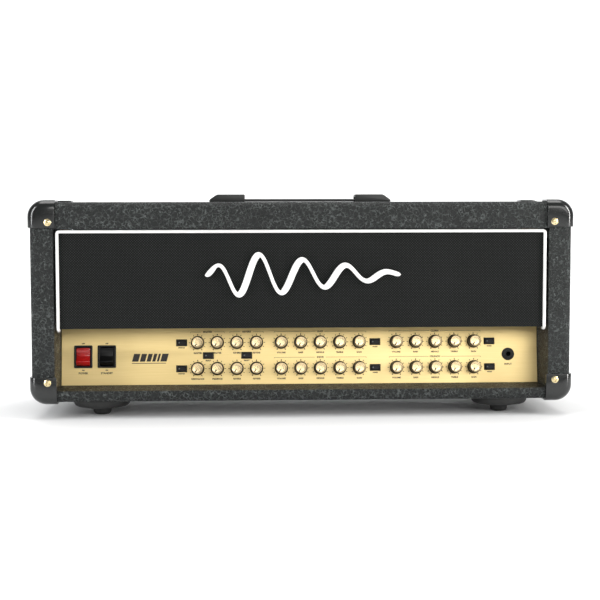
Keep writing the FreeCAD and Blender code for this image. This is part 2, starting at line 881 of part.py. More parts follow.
def chassis(cutters):
    """A steel channel welded from flat sheets, open below: front wall, roof, rear wall and two end cheeks."""
    low = "(%s + 0.4)" % opening_low
    top_inside = "(chassis_top - chassis_sheet)"
    outer_wall = "panel_thickness"
    inner_wall = "(panel_thickness + chassis_sheet)"
    front_profile = [
        (wall_line(low, outer_wall), low),
        (wall_line("chassis_top", outer_wall), "chassis_top"),
        (wall_line("chassis_top", inner_wall), "chassis_top"),
        (wall_line(low, inner_wall), low),
    ]
    front = padded_outline("front_wall", "YZ_Plane", front_profile, "2 * chassis_half")
    roof_profile = [
        (wall_line(top_inside, inner_wall), top_inside),
        (wall_line("chassis_top", inner_wall), "chassis_top"),
        ("chassis_rear - chassis_sheet", "chassis_top"),
        ("chassis_rear - chassis_sheet", top_inside),
    ]
    pieces = [
        cut("front_wall_drilled", front, [on_panel(compound("wall_cutters", [cutters]))]),
        padded_outline("chassis_roof", "YZ_Plane", roof_profile, "2 * chassis_half"),
    ]
    inlet_half = "(inlet_width / 2 + inlet_clearance)"
    inlet_left = "(inlet_centre - %s)" % inlet_half
    inlet_right = "(inlet_centre + %s)" % inlet_half
    inlet_low = "(socket_row - inlet_height / 2 - inlet_clearance)"
    inlet_high = "(socket_row + inlet_height / 2 + inlet_clearance)"
    tools = []
    for name, x in rear_jacks:
        start = (str(x), "chassis_rear - 3 * chassis_sheet", "socket_row")
        tools.append(rod(name + "_wall_hole", start, "jack_hole", "5 * chassis_sheet", along))
    for x in ("fuse_one", "fuse_two"):
        start = (x, "chassis_rear - 3 * chassis_sheet", "socket_row")
        tools.append(rod(x + "_wall_hole", start, "fuse_body + inlet_clearance", "5 * chassis_sheet", along))
    socket_wall = wall_sheet("socket_wall", inlet_right, "chassis_half", low, "chassis_top")
    pieces += [
        cut("socket_wall_drilled", socket_wall, tools),
        wall_sheet("wall_beside_inlet", "(-chassis_half)", inlet_left, low, "chassis_top"),
        wall_sheet("wall_below_inlet", inlet_left, inlet_right, low, inlet_low),
        wall_sheet("wall_above_inlet", inlet_left, inlet_right, inlet_high, "chassis_top"),
    ]
    cheek_profile = [
        (wall_line(low, inner_wall), low),
        (wall_line(top_inside, inner_wall), top_inside),
        ("chassis_rear - chassis_sheet", top_inside),
        ("chassis_rear - chassis_sheet", low),
    ]
    for side, sign in (("left", -1), ("right", 1)):
        cheek = padded_outline(side + "_end", "YZ_Plane", cheek_profile, "chassis_sheet")
        pieces.append(place(cheek, "%d * (chassis_half - chassis_sheet / 2)" % sign))
    return compound("chassis_set", pieces)


def rimmed(name, outer_width, outer_height, front, depth):
    """Four straight walls round the inlet's mouth, from front inwards by depth."""
    walls = []
    side_wall = "(%s - mouth_width) / 2" % outer_width
    end_wall = "(%s - mouth_height) / 2" % outer_height
    for tag, edge in (("low", "socket_row - %s / 2" % outer_height), ("high", "socket_row + mouth_height / 2")):
        start = ("inlet_centre - %s / 2" % outer_width, "%s - %s" % (front, depth), edge)
        walls.append(box(name + "_" + tag, start, (outer_width, depth, end_wall)))
    left_edge = "inlet_centre - %s / 2" % outer_width
    for tag, edge in (("left", left_edge), ("right", "inlet_centre + mouth_width / 2")):
        start = (edge, "%s - %s" % (front, depth), "socket_row - mouth_height / 2")
        walls.append(box(name + "_" + tag, start, (side_wall, depth, "mouth_height")))
    return walls


def mains_inlet():
    """The inlet: a flange, four walls and a back round its mouth, and three prongs."""
    recess = "(inlet_depth - inlet_back)"
    flange_face = "(chassis_rear + flange_thickness)"
    pieces = rimmed("inlet_flange", "flange_width", "flange_height", flange_face, "flange_thickness")
    pieces += rimmed("inlet_wall", "inlet_width", "inlet_height", "chassis_rear", recess)
    corner = ("inlet_centre - inlet_width / 2", "chassis_rear - inlet_depth", "socket_row - inlet_height / 2")
    pieces.append(box("inlet_back_wall", corner, ("inlet_width", "inlet_back", "inlet_height")))
    for tag, x, z in (("left", "- prong_pitch", "- 1"), ("middle", "", "+ 3"), ("right", "+ prong_pitch", "- 1")):
        start = (
            "inlet_centre %s - prong_width / 2" % x,
            "chassis_rear - " + recess,
            "socket_row %s - prong_height / 2" % z,
        )
        pieces.append(box(tag + "_prong", start, ("prong_width", "prong_length", "prong_height")))
    return pieces


def rear_sockets():
    """Output, loop and pedal jacks, the mains inlet and two fuse holders in the chassis rear wall."""
    pieces = []
    for name, x in rear_jacks:
        piece = compound(name + "_jack", [turn(jack(name), across, "-90")])
        pieces.append(place(piece, str(x), "chassis_rear", "socket_row"))
    pieces += mains_inlet()
    for x in ("fuse_one", "fuse_two"):
        parts = [
            rod(x + "_cap", (x, "chassis_rear", "socket_row"), "fuse_cap", "fuse_cap_rise", along),
            rod(x + "_body", (x, "chassis_rear - fuse_depth", "socket_row"), "fuse_body", "fuse_depth", along),
        ]
        pieces.append(fuse(x + "_holder", parts))
    return compound("sockets", pieces)


def rear_panel():
    """A steel sheet over the valve bay, with two rows of slots for the heat."""
    low = "chassis_top + rear_gap"
    high = "%s - rear_gap" % opening_high
    blank = box(
        "rear_blank",
        ("-%s + rear_gap" % opening_half, "rear_face - rear_panel_thickness", low),
        ("2 * (%s - rear_gap)" % opening_half, "rear_panel_thickness", "%s - (%s)" % (high, low)),
    )
    slots = []
    for row in range(2):
        for column in range(-13, 14):
            start = (
                "%d * slot_pitch - slot_width / 2" % column,
                "rear_face - 2 * rear_panel_thickness",
                "slot_low + %d * slot_row_pitch" % row,
            )
            size = ("slot_width", "3 * rear_panel_thickness", "slot_height")
            slots.append(box("slot_%d" % len(slots), start, size))
    return cut("rear_sheet", blank, slots)


valve_places = [(x, 46, "power") for x in (60, 108, 156, 204)]
valve_places += [(x, -2, "preamp") for x in (40, 76, 112, 148, 184)]


def valves():
    """Four power valves and five small ones, each in its ceramic base on the chassis roof."""
    pieces = []
    for number, (x, y, kind) in enumerate(valve_places):
        scale = 1.0 if kind == "power" else 0.68
        height = 84 if kind == "power" else 52
        radius = "valve_base * %g" % scale
        base_radius = radius + " + 2"
        base = turned("base_%d" % number, [("0", "0"), (base_radius, "0"), (base_radius, "6"), ("0", "6")])
        bulb = turned(
            "valve_%d" % number,
            [
                ("0", "6"),
                (radius + " - 1", "6"),
                (radius + " - 1", "6 + %g" % (0.18 * height)),
                (radius, "6 + %g" % (0.26 * height)),
                (radius, "6 + %g" % (0.8 * height)),
                (radius + " * 0.72", "6 + %g" % (0.93 * height)),
                (radius + " * 0.25", "6 + %g" % height),
                ("0", "6 + %g" % height),
            ],
        )
        for piece in (base, bulb):
            pieces.append(place(piece, str(x), str(y), "chassis_top"))
    return compound("valve_set", pieces)


def transformers():
    """Mains transformer, output transformer and choke: a laminated core and a winding cover on each side."""
    pieces = []
    for name, x, width, depth, height in (
        ("mains", -255, 96, 50, 88),
        ("output", -110, 80, 44, 74),
        ("choke", -30, 44, 26, 44),
    ):
        core_size = (str(width), str(depth * 0.5), str(height))
        core = centred_box(name + "_core", (str(x), "30", "chassis_top"), core_size)
        pieces.append(core)
        cover = (str(width * 0.72), str(depth * 0.42), str(height * 0.8))
        for side in (-1, 1):
            y = "30 + %g" % (side * depth * 0.46)
            spot = (str(x), y, "chassis_top + %g" % (height * 0.1))
            pieces.append(centred_box("%s_cover_%d" % (name, side), spot, cover))
    return compound("transformer_set", pieces)


def circuit_boards():
    """The control board behind the potentiometers, the main board, and its tall capacitors."""
    back = "-(panel_thickness + chassis_sheet + pot_gap + pot_depth + 3.4)"
    control = box("control_board_blank", ("-180", "10", back), ("440", "64", "1.6"))
    control = on_panel(compound("control_board", [control]))
    main = box("main_board", ("-230", "12", "58"), ("520", "54", "1.6"))
    pieces = [control, main]
    for x in (-200, -160, -120, -20, 20, 60):
        pieces.append(rod("capacitor_%d" % (x + 300), (str(x), "32", "59.6"), "14", "46"))
    return compound("board_set", pieces)


# ---- carrying handle ----


def handle_end_caps():
    """Two hollow caps on the roof; the strap's ends sit in their mouths."""
    caps = []
    for sign in (-1, 1):
        side = "left" if sign < 0 else "right"
        points = [("cap_inner", "0"), ("cap_outer", "0"), ("cap_outer", "cap_rise * 0.3")]
        points += [("cap_outer - cap_rise", "cap_rise"), ("cap_inner", "cap_rise")]
        points = [("%d * (%s)" % (sign, x), z) for x, z in points]
        cover = padded_outline(side + "_cap", "XZ_Plane", points, "2 * cap_half_depth")
        mouth_x = "-cap_outer + 40" if sign < 0 else "cap_inner - 1"
        mouth = box(
            side + "_mouth",
            (mouth_x, "-strap_half_depth - 1", "-1"),
            ("cap_outer - cap_inner - 39", "2 * strap_half_depth + 2", "cap_mouth + 1"),
        )
        caps.append(cut(side + "_cap_hollow", cover, [mouth]))
    return place(compound("caps", caps), z=roof)


def strap_half(name, sign):
    low_x = "-strap_end" if sign < 0 else "strap_joint_gap / 2"
    size = ("strap_end - strap_joint_gap / 2", "2 * strap_half_depth", "strap_thickness")
    return box(name, (low_x, "-strap_half_depth", roof + " + strap_lift"), size)


# ---- the parts ----

rounded_block(
    "cabinet_block", "cabinet_width", "cabinet_depth", "foot_height", roof, "corner_radius", "edge_radius"
)
keep(cabinet_boards(), "cabinet_boards")
keep(vinyl_covering(), "vinyl_covering")
keep(corner_protectors(), "corner_protectors")
keep(screws(), "screws")
keep(rubber_feet(), "rubber_feet")
keep(front_baffle(), "front_baffle")
keep(grille_cloth(), "grille_cloth")
keep(white_piping(), "white_piping")
keep(front_emblem(), "front_emblem")
holes = panel_cutters()
keep(control_panel(holes), "control_panel")
keep(chassis(holes), "chassis")
for knob_name, knob_x, knob_row in knob_places:
    keep(knob(knob_name, knob_x, knob_row), knob_name)
for button_name, button_x, button_row in button_places:
    keep(button(button_name, button_x, button_row), button_name)
for rocker_name, rocker_x in rocker_places:
    keep(rocker(rocker_name, rocker_x), rocker_name)
keep(switch_housings(), "switch_housings")
keep(potentiometers(), "potentiometers")
keep(on_panel(compound("front_jack", [jack("input")]), "jack_centre", "jack_row"), "input_jack")
keep(rear_sockets(), "rear_sockets")
keep(rear_panel(), "rear_panel")
keep(valves(), "valves")
keep(transformers(), "transformers")
keep(circuit_boards(), "circuit_boards")
keep(handle_end_caps(), "handle_end_caps")
keep(strap_half("strap_left", -1), "strap_left")
keep(strap_half("strap_right", 1), "strap_right")

doc.recompute()

for item in doc.Objects:
    if "Invalid" in item.State or "Error" in item.State:
        raise RuntimeError("%s did not compute" % item.Name)
for part in sub_parts:
    if part.Shape.isNull() or not part.Shape.isValid() or not part.Shape.Solids:
        raise RuntimeError("%s has no sound solid" % part.Label)

os.makedirs("parts", exist_ok=True)
for part in sub_parts:
    part.Shape.exportStep(os.path.join("parts", part.Label + ".step"))
print("%d sub-parts written" % len(sub_parts))
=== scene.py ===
import json
import math

import bmesh
import bpy
import numpy as np
from mathutils import Matrix, Vector

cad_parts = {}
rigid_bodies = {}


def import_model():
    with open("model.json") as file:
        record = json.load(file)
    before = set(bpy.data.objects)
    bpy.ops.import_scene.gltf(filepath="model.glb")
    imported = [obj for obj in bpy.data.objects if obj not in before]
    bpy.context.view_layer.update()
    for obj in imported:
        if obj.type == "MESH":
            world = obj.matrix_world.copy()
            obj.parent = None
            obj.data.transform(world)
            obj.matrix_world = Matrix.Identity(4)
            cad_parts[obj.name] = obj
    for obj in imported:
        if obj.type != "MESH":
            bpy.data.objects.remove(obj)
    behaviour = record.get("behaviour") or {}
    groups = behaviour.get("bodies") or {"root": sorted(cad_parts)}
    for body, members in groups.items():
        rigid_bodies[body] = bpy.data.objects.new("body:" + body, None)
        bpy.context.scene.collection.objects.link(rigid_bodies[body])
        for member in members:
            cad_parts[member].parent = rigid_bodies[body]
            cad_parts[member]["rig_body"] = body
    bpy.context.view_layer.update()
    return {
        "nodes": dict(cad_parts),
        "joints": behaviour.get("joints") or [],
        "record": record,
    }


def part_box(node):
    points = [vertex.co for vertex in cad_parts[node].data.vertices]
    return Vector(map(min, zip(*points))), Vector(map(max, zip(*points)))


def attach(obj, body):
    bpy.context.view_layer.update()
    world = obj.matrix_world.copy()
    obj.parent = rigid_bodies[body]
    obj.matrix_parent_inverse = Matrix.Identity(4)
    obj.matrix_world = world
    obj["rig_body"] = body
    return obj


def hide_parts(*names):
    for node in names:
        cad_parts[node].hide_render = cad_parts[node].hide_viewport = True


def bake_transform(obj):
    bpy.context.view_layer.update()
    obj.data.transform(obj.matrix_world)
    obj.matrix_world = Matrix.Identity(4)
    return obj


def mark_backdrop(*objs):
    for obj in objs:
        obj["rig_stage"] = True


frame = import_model()
mm = 0.001
record = frame["record"]
joints = {joint["child"]: joint for joint in frame["joints"]}
body = "cabinet"
inputMount = next(mount for mount in record["mounts"] if mount["name"] == "input_jack")
print("frame loaded:", len(frame["nodes"]), "nodes")


inward = Vector(joints["presence_knob"]["axis"]).normalized()
panelOut = -inward
panelAcross = Vector((1, 0, 0))
panelUp = panelOut.cross(panelAcross)


def panelMatrix(centre, turn=0.0):
    # x across, y up the panel, z out of it; turn is counter-clockwise as seen from the front
    turned = Matrix.Rotation(math.radians(turn), 4, "Z")
    axes = Matrix((panelAcross, panelUp, panelOut)).transposed().to_4x4()
    return Matrix.Translation(Vector(centre)) @ axes @ turned


panelOrigin = Vector(joints["presence_knob"]["pos_m"])
panelOrigin.x = 0


def panelPoint(x, up, out=0.0):
    # x from the middle, up from the lower knob row, in metres
    return Vector((x, panelOrigin.y, panelOrigin.z)) + panelUp * up + panelOut * out


def alongPanel(point):
    # how far up the panel a point is, from the lower knob row
    return (Vector(point) - panelOrigin).dot(panelUp)


def middleOf(nodeName):
    # the middle of a CAD node, brought onto the face of the panel
    low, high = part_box(nodeName)
    middle = (low + high) / 2
    return middle - panelOut * (middle - panelOrigin).dot(panelOut)


def addPiece(name, verts, faces, materials, faceMaterials=None, smoothAngle=35, matrix=None):
    mesh = bpy.data.meshes.new(name)
    mesh.from_pydata([tuple(v) for v in verts], [], faces)
    for material in materials:
        mesh.materials.append(material)
    if faceMaterials is not None:
        mesh.polygons.foreach_set("material_index", faceMaterials)
    mesh.validate()
    piece = bpy.data.objects.new(name, mesh)
    bpy.context.scene.collection.objects.link(piece)
    tidyNormals(mesh)
    smoothBy(mesh, smoothAngle)
    if matrix is not None:
        piece.matrix_world = matrix
    return piece


def fitted(piece, nodeName, rider=body):
    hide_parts(nodeName)
    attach(piece, rider)
    return piece


def tidyNormals(mesh):
    work = bmesh.new()
    work.from_mesh(mesh)
    bmesh.ops.recalc_face_normals(work, faces=work.faces)
    work.to_mesh(mesh)
    work.free()


def smoothBy(mesh, angle):
    # smooth shading with edges sharper than angle kept sharp
    mesh.shade_smooth()
    mesh.set_sharp_from_angle(angle=math.radians(angle))


def copyOf(piece, name, matrix):
    twin = bpy.data.objects.new(name, piece.data)
    bpy.context.scene.collection.objects.link(twin)
    twin.matrix_world = matrix
    return twin


def applyModifiers(piece):
    bpy.context.view_layer.update()
    graph = bpy.context.evaluated_depsgraph_get()
    done = bpy.data.meshes.new_from_object(piece.evaluated_get(graph))
    piece.modifiers.clear()
    piece.data = done


def bevelled(piece, width, segments=3, angle=30):
    modifier = piece.modifiers.new("roundedEdges", "BEVEL")
    modifier.width = width
    modifier.segments = segments
    modifier.limit_method = "ANGLE"
    modifier.angle_limit = math.radians(angle)
    modifier.use_clamp_overlap = True
    modifier.harden_normals = False
    applyModifiers(piece)
    smoothBy(piece.data, 40)
    return piece


def turnedShape(profile, segments, modulate=None):
    # profile is (radius, height, material) from the top centre down; returns verts, faces and face materials
    verts = []
    rings = []
    for radius, height, _ in profile:
        if radius < 1e-7:
            rings.append([len(verts)])
            verts.append((0, 0, height))
            continue
        ring = []
        for step in range(segments):
            angle = 2 * math.pi * step / segments
            reach = radius if modulate is None else modulate(radius, height, angle)
            ring.append(len(verts))
            verts.append((reach * math.cos(angle), reach * math.sin(angle), height))
        rings.append(ring)
    faces = []
    faceMaterials = []
    for index in range(len(rings) - 1):
        upper, lower = rings[index], rings[index + 1]
        for step in range(segments):
            after = (step + 1) % segments
            if len(upper) == 1:
                face = (upper[0], lower[step], lower[after])
            elif len(lower) == 1:
                face = (upper[step], lower[0], upper[after])
            else:
                face = (upper[step], lower[step], lower[after], upper[after])
            faces.append(face)
            faceMaterials.append(profile[index][2])
    return verts, faces, faceMaterials


def roundedRectangle(width, height, radius, steps=6):
    points = []
    for cornerX, cornerY, start in ((1, 1, 0), (-1, 1, 90), (-1, -1, 180), (1, -1, 270)):
        for step in range(steps + 1):
            angle = math.radians(start + 90 * step / steps)
            x = cornerX * (width / 2 - radius) + radius * math.cos(angle)
            y = cornerY * (height / 2 - radius) + radius * math.sin(angle)
            points.append((x, y))
    return points


def loftedRings(rings, closeEnds=True):
    # rings of equal length, joined in order, with the first and last filled
    verts = [point for ring in rings for point in ring]
    count = len(rings[0])
    faces = []
    for index in range(len(rings) - 1):
        for step in range(count):
            after = (step + 1) % count
            low = index * count
            high = low + count
            faces.append((low + step, low + after, high + after, high + step))
    if closeEnds:
        faces.append(tuple(range(count))[::-1])
        faces.append(tuple(range(len(verts) - count, len(verts))))
    return verts, faces


def softened(nodeName, pieceName, material, width, segments=3, angle=30):
    # the CAD solid again, with its flat facets joined and its edges rounded
    source = frame["nodes"][nodeName]
    piece = bpy.data.objects.new(pieceName, source.data.copy())
    bpy.context.scene.collection.objects.link(piece)
    mesh = piece.data
    mesh.materials.clear()
    mesh.materials.append(material)
    work = bmesh.new()
    work.from_mesh(mesh)
    bmesh.ops.remove_doubles(work, verts=work.verts, dist=2e-6)
    bmesh.ops.dissolve_limit(work, angle_limit=math.radians(0.6), verts=work.verts, edges=work.edges)
    work.to_mesh(mesh)
    work.free()
    if width:
        bevelled(piece, width, segments, angle)
    smoothBy(piece.data, 38)
    return fitted(piece, nodeName, bodyOf(nodeName))


def bodyOf(nodeName):
    return frame["nodes"][nodeName]["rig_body"]


def newMaterial(name, colour, roughness, metallic=0.0, **extra):
    material = bpy.data.materials.new(name)
    material.use_nodes = True
    shader = material.node_tree.nodes["Principled BSDF"]
    shader.inputs["Base Color"].default_value = (*colour, 1)
    shader.inputs["Roughness"].default_value = roughness
    shader.inputs["Metallic"].default_value = metallic
    for socket, value in extra.items():
        shader.inputs[socket.replace("_", " ")].default_value = value
    return material


def shaderOf(material):
    return material.node_tree.nodes["Principled BSDF"]


def placeCoordinates(material, stretch=(1, 1, 1)):
    tree = material.node_tree
    coordinates = tree.nodes.new("ShaderNodeTexCoord")
    mapping = tree.nodes.new("ShaderNodeMapping")
    mapping.inputs["Scale"].default_value = stretch
    tree.links.new(coordinates.outputs["Object"], mapping.inputs["Vector"])
    return mapping.outputs["Vector"]


def noise(material, scale, detail=4, roughness=0.55, distortion=0.0, stretch=(1, 1, 1), vector=None):
    node = material.node_tree.nodes.new("ShaderNodeTexNoise")
    node.inputs["Scale"].default_value = scale
    node.inputs["Detail"].default_value = detail
    node.inputs["Roughness"].default_value = roughness
    node.inputs["Distortion"].default_value = distortion
    if vector is None:
        vector = placeCoordinates(material, stretch)
    material.node_tree.links.new(vector, node.inputs["Vector"])
    return node.outputs["Fac"]


def ramp(material, source, stops):
    node = material.node_tree.nodes.new("ShaderNodeValToRGB")
    elements = node.color_ramp.elements
    while len(elements) < len(stops):
        elements.new(0.5)
    for element, (position, colour) in zip(elements, stops):
        element.position = position
        element.color = (*colour, 1) if len(colour) == 3 else colour
    material.node_tree.links.new(source, node.inputs["Fac"])
    return node.outputs["Color"]


def grey(value):
    return (value, value, value)


def maths(material, operation, first, second):
    node = material.node_tree.nodes.new("ShaderNodeMath")
    node.operation = operation
    for slotNumber, value in enumerate((first, second)):
        if isinstance(value, (int, float)):
            node.inputs[slotNumber].default_value = value
        else:
            material.node_tree.links.new(value, node.inputs[slotNumber])
    return node.outputs["Value"]


def scaled(material, value, factor):
    return maths(material, "MULTIPLY", value, factor)


def added(material, first, second):
    return maths(material, "ADD", first, second)


def paint(material, source):
    material.node_tree.links.new(source, shaderOf(material).inputs["Base Color"])


def roughen(material, source):
    material.node_tree.links.new(source, shaderOf(material).inputs["Roughness"])


def bump(material, source, strength, distance):
    tree = material.node_tree
    node = tree.nodes.new("ShaderNodeBump")
    node.inputs["Strength"].default_value = strength
    node.inputs["Distance"].default_value = distance
    tree.links.new(source, node.inputs["Height"])
    previous = shaderOf(material).inputs["Normal"]
    if previous.is_linked:
        tree.links.new(previous.links[0].from_socket, node.inputs["Normal"])
    tree.links.new(node.outputs["Normal"], previous)


def wornSurface(material, dark, light, scale, roughLow, roughHigh, bumpSize):
    # cloudy colour, uneven gloss and a fine grain: what every plain finish here starts from
    clouds = noise(material, scale, detail=5)
    paint(material, ramp(material, clouds, [(0.3, dark), (0.7, light)]))
    grain = noise(material, scale * 14, detail=3)
    roughen(material, ramp(material, grain, [(0.25, grey(roughLow)), (0.75, grey(roughHigh))]))
    bump(material, grain, 0.25, bumpSize)
    return material


vinylLook = {
    "dark": (0.0042, 0.0055, 0.0052),
    "middle": (0.0085, 0.0105, 0.010),
    # light: the painted highlight colour laid on the crease lines
    "light": (0.15, 0.168, 0.163),
    "grainSize": 185,
    "warp": 0.013,
    "warpScale": 130,
    "relief": 0.0022,
    "cloudRelief": 0.6,
    "fineRelief": 0.15,
    "breakSize": 150,
    "cloudSize": 22,
    "fineSize": 900,
}


def vinylMaterial():
    # levant grain: creases along cells that noise has pulled about, broken up so they read as short worms;
    # the creases are painted light, a painted highlight on the grain
    material = newMaterial("grainedVinyl", vinylLook["dark"], 0.42, Specular_IOR_Level=0.36)
    tree = material.node_tree
    vector = placeCoordinates(material)
    warpNoise = tree.nodes.new("ShaderNodeTexNoise")
    warpNoise.inputs["Scale"].default_value = vinylLook["warpScale"]
    warpNoise.inputs["Detail"].default_value = 3
    tree.links.new(vector, warpNoise.inputs["Vector"])
    centred = tree.nodes.new("ShaderNodeVectorMath")
    centred.operation = "SUBTRACT"
    centred.inputs[1].default_value = (0.5, 0.5, 0.5)
    tree.links.new(warpNoise.outputs["Color"], centred.inputs[0])
    pulled = tree.nodes.new("ShaderNodeVectorMath")
    pulled.operation = "MULTIPLY_ADD"
    pulled.inputs[1].default_value = (vinylLook["warp"],) * 3
    tree.links.new(centred.outputs["Vector"], pulled.inputs[0])
    tree.links.new(vector, pulled.inputs[2])
    cells = tree.nodes.new("ShaderNodeTexVoronoi")
    cells.feature = "DISTANCE_TO_EDGE"
    cells.inputs["Scale"].default_value = vinylLook["grainSize"]
    tree.links.new(pulled.outputs["Vector"], cells.inputs["Vector"])
    creaseShades = [(0.0, grey(1)), (0.04, grey(0.7)), (0.14, grey(0.0))]
    creases = ramp(material, cells.outputs["Distance"], creaseShades)
    patches = noise(material, vinylLook["breakSize"], detail=3)
    breaks = ramp(material, patches, [(0.36, grey(0.25)), (0.62, grey(1))])
    worms = maths(material, "MULTIPLY", creases, breaks)
    clouds = noise(material, vinylLook["cloudSize"], detail=4)
    fine = noise(material, vinylLook["fineSize"], detail=3)
    height = added(material, scaled(material, clouds, vinylLook["cloudRelief"]), worms)
    height = added(material, height, scaled(material, fine, vinylLook["fineRelief"]))
    # painted highlight: the crease lines are coloured lighter than the vinyl; the clouds add random tone
    tone = added(material, scaled(material, worms, 0.7), scaled(material, clouds, 0.3))
    shades = [(0.1, vinylLook["dark"]), (0.3, vinylLook["middle"]), (0.9, vinylLook["light"])]
    paint(material, ramp(material, tone, shades))
    roughen(material, ramp(material, worms, [(0.0, grey(0.56)), (1.0, grey(0.26))]))
    bump(material, height, 1.0, vinylLook["relief"])
    return material


clothSize = {
    "step": 0.9 * mm,
    "dotPitch": 3.6 * mm,
    "dotHeight": 0.30 * mm,
    "yarnHeight": 0.10 * mm,
    "puff": 0.5 * mm,
}


def clothMaterial():
    # black yarn, with a painted highlight where a knot of the weave stands up
    material = newMaterial("grilleYarn", (0.012, 0.013, 0.0125), 0.8, Specular_IOR_Level=0.12)
    tree = material.node_tree
    split = tree.nodes.new("ShaderNodeSeparateXYZ")
    tree.links.new(placeCoordinates(material), split.inputs["Vector"])
    turns = 2 * math.pi / clothSize["dotPitch"]
    waveX = maths(material, "COSINE", scaled(material, split.outputs["X"], turns), 0)
    waveZ = maths(material, "COSINE", scaled(material, split.outputs["Z"], turns), 0)
    knotHighlight = maths(material, "MULTIPLY", waveX, waveZ)
    strands = noise(material, 1500, detail=2, stretch=(1, 1, 0.4))
    clouds = noise(material, 9, detail=3)
    # painted highlight: the knots are coloured paler; strands and clouds add random tone
    tone = added(material, scaled(material, strands, 0.35), scaled(material, knotHighlight, 0.6))
    tone = added(material, tone, scaled(material, clouds, 0.15))
    shades = [
        (0.2, (0.0045, 0.005, 0.0048)),
        (0.42, (0.008, 0.0088, 0.0085)),
        (0.75, (0.034, 0.037, 0.0355)),
    ]
    paint(material, ramp(material, tone, shades))
    roughen(material, ramp(material, strands, [(0.3, grey(0.9)), (0.7, grey(0.66))]))
    bump(material, strands, 0.5, 0.00012)
    return material


def goldPanelMaterial():
    # anodised aluminium brushed along its length
    material = newMaterial("brushedGold", (0.72, 0.55, 0.27), 0.33, metallic=0.6, Anisotropic=0.4)
    lines = noise(material, 900, detail=4, stretch=(0.02, 1, 1))
    clouds = noise(material, 7, detail=3)
    tone = added(material, scaled(material, lines, 0.5), scaled(material, clouds, 0.5))
    paint(material, ramp(material, tone, [(0.3, (0.76, 0.575, 0.245)), (0.7, (0.86, 0.67, 0.32))]))
    roughen(material, ramp(material, lines, [(0.25, grey(0.29)), (0.8, grey(0.42))]))
    bump(material, lines, 0.12, 0.00003)
    return material


def spunGoldMaterial():
    # turned rings round the knob's own axis
    material = newMaterial("spunGold", (0.80, 0.62, 0.34), 0.26, metallic=0.9, Anisotropic=0.4)
    tree = material.node_tree
    coordinates = tree.nodes.new("ShaderNodeTexCoord")
    rings = tree.nodes.new("ShaderNodeTexWave")
    rings.wave_type = "RINGS"
    rings.rings_direction = "Z"
    rings.inputs["Scale"].default_value = 620
    rings.inputs["Distortion"].default_value = 0.6
    tree.links.new(coordinates.outputs["Object"], rings.inputs["Vector"])
    clouds = noise(material, 260, detail=3)
    paint(material, ramp(material, clouds, [(0.3, (0.66, 0.50, 0.27)), (0.75, (0.84, 0.68, 0.42))]))
    roughen(material, ramp(material, rings.outputs["Fac"], [(0.0, grey(0.2)), (1.0, grey(0.36))]))
    bump(material, rings.outputs["Fac"], 0.25, 0.00004)
    return material


def brassMaterial():
    material = newMaterial("platedBrass", (0.80, 0.62, 0.26), 0.24, metallic=1.0)
    wear = noise(material, 420, detail=5)
    paint(material, ramp(material, wear, [(0.3, (0.60, 0.47, 0.22)), (0.7, (0.92, 0.80, 0.52))]))
    roughen(material, ramp(material, wear, [(0.3, grey(0.38)), (0.7, grey(0.16))]))
    bump(material, wear, 0.2, 0.00003)
    return material


def plywoodMaterial():
    material = newMaterial("birchPly", (0.5, 0.36, 0.2), 0.7)
    rings = noise(material, 16, detail=5, distortion=1.2, stretch=(0.15, 2.2, 2.2))
    paint(material, ramp(material, rings, [(0.3, (0.30, 0.19, 0.095)), (0.7, (0.58, 0.42, 0.25))]))
    bump(material, rings, 0.3, 0.0002)
    return material


def boardMaterial():
    material = newMaterial("solderMask", (0.02, 0.09, 0.04), 0.35)
    tracks = noise(material, 160, detail=1, stretch=(0.25, 1, 1))
    paint(material, ramp(material, tracks, [(0.48, (0.012, 0.06, 0.025)), (0.54, (0.04, 0.15, 0.07))]))
    bump(material, tracks, 0.3, 0.00005)
    return material


def glassMaterial():
    material = newMaterial("valveGlass", (0.9, 0.92, 0.92), 0.05, Transmission_Weight=0.85, IOR=1.46)
    haze = noise(material, 60, detail=3)
    roughen(material, ramp(material, haze, [(0.4, grey(0.03)), (0.75, grey(0.12))]))
    bump(material, haze, 0.05, 0.0001)
    return material


vinyl = vinylMaterial()
cloth = clothMaterial()
goldPanel = goldPanelMaterial()
spunGold = spunGoldMaterial()
brass = brassMaterial()
plywood = plywoodMaterial()
board = boardMaterial()
valveGlass = glassMaterial()
cornerPlastic = newMaterial(
    "cornerPlastic", (0.02, 0.023, 0.022), 0.2, Specular_IOR_Level=0.45, Coat_Weight=0.3
)
wornSurface(cornerPlastic, (0.005, 0.0057, 0.0055), (0.010, 0.0113, 0.011), 40, 0.14, 0.28, 0.00002)
shellPlastic = newMaterial("handlePlastic", (0.02, 0.022, 0.021), 0.3)
wornSurface(shellPlastic, (0.007, 0.0078, 0.0075), (0.014, 0.0155, 0.015), 60, 0.3, 0.46, 0.00004)
blackPlastic = newMaterial("blackPlastic", (0.01, 0.01, 0.01), 0.32, Specular_IOR_Level=0.28)
wornSurface(blackPlastic, (0.0035, 0.0035, 0.0036), (0.008, 0.008, 0.0084), 200, 0.3, 0.5, 0.00003)
knobPlastic = newMaterial("knobPlastic", (0.012, 0.010, 0.008), 0.25, Specular_IOR_Level=0.3)
wornSurface(knobPlastic, (0.006, 0.005, 0.004), (0.014, 0.011, 0.008), 300, 0.26, 0.42, 0.00002)
whitePlastic = newMaterial("whitePlastic", (0.86, 0.86, 0.84), 0.28, Coat_Weight=0.3)
wornSurface(whitePlastic, (0.82, 0.82, 0.80), (0.90, 0.90, 0.885), 30, 0.24, 0.38, 0.00002)
pipingPlastic = newMaterial("pipingPlastic", (0.84, 0.84, 0.82), 0.35)
wornSurface(pipingPlastic, (0.78, 0.78, 0.755), (0.88, 0.88, 0.865), 90, 0.3, 0.46, 0.00004)
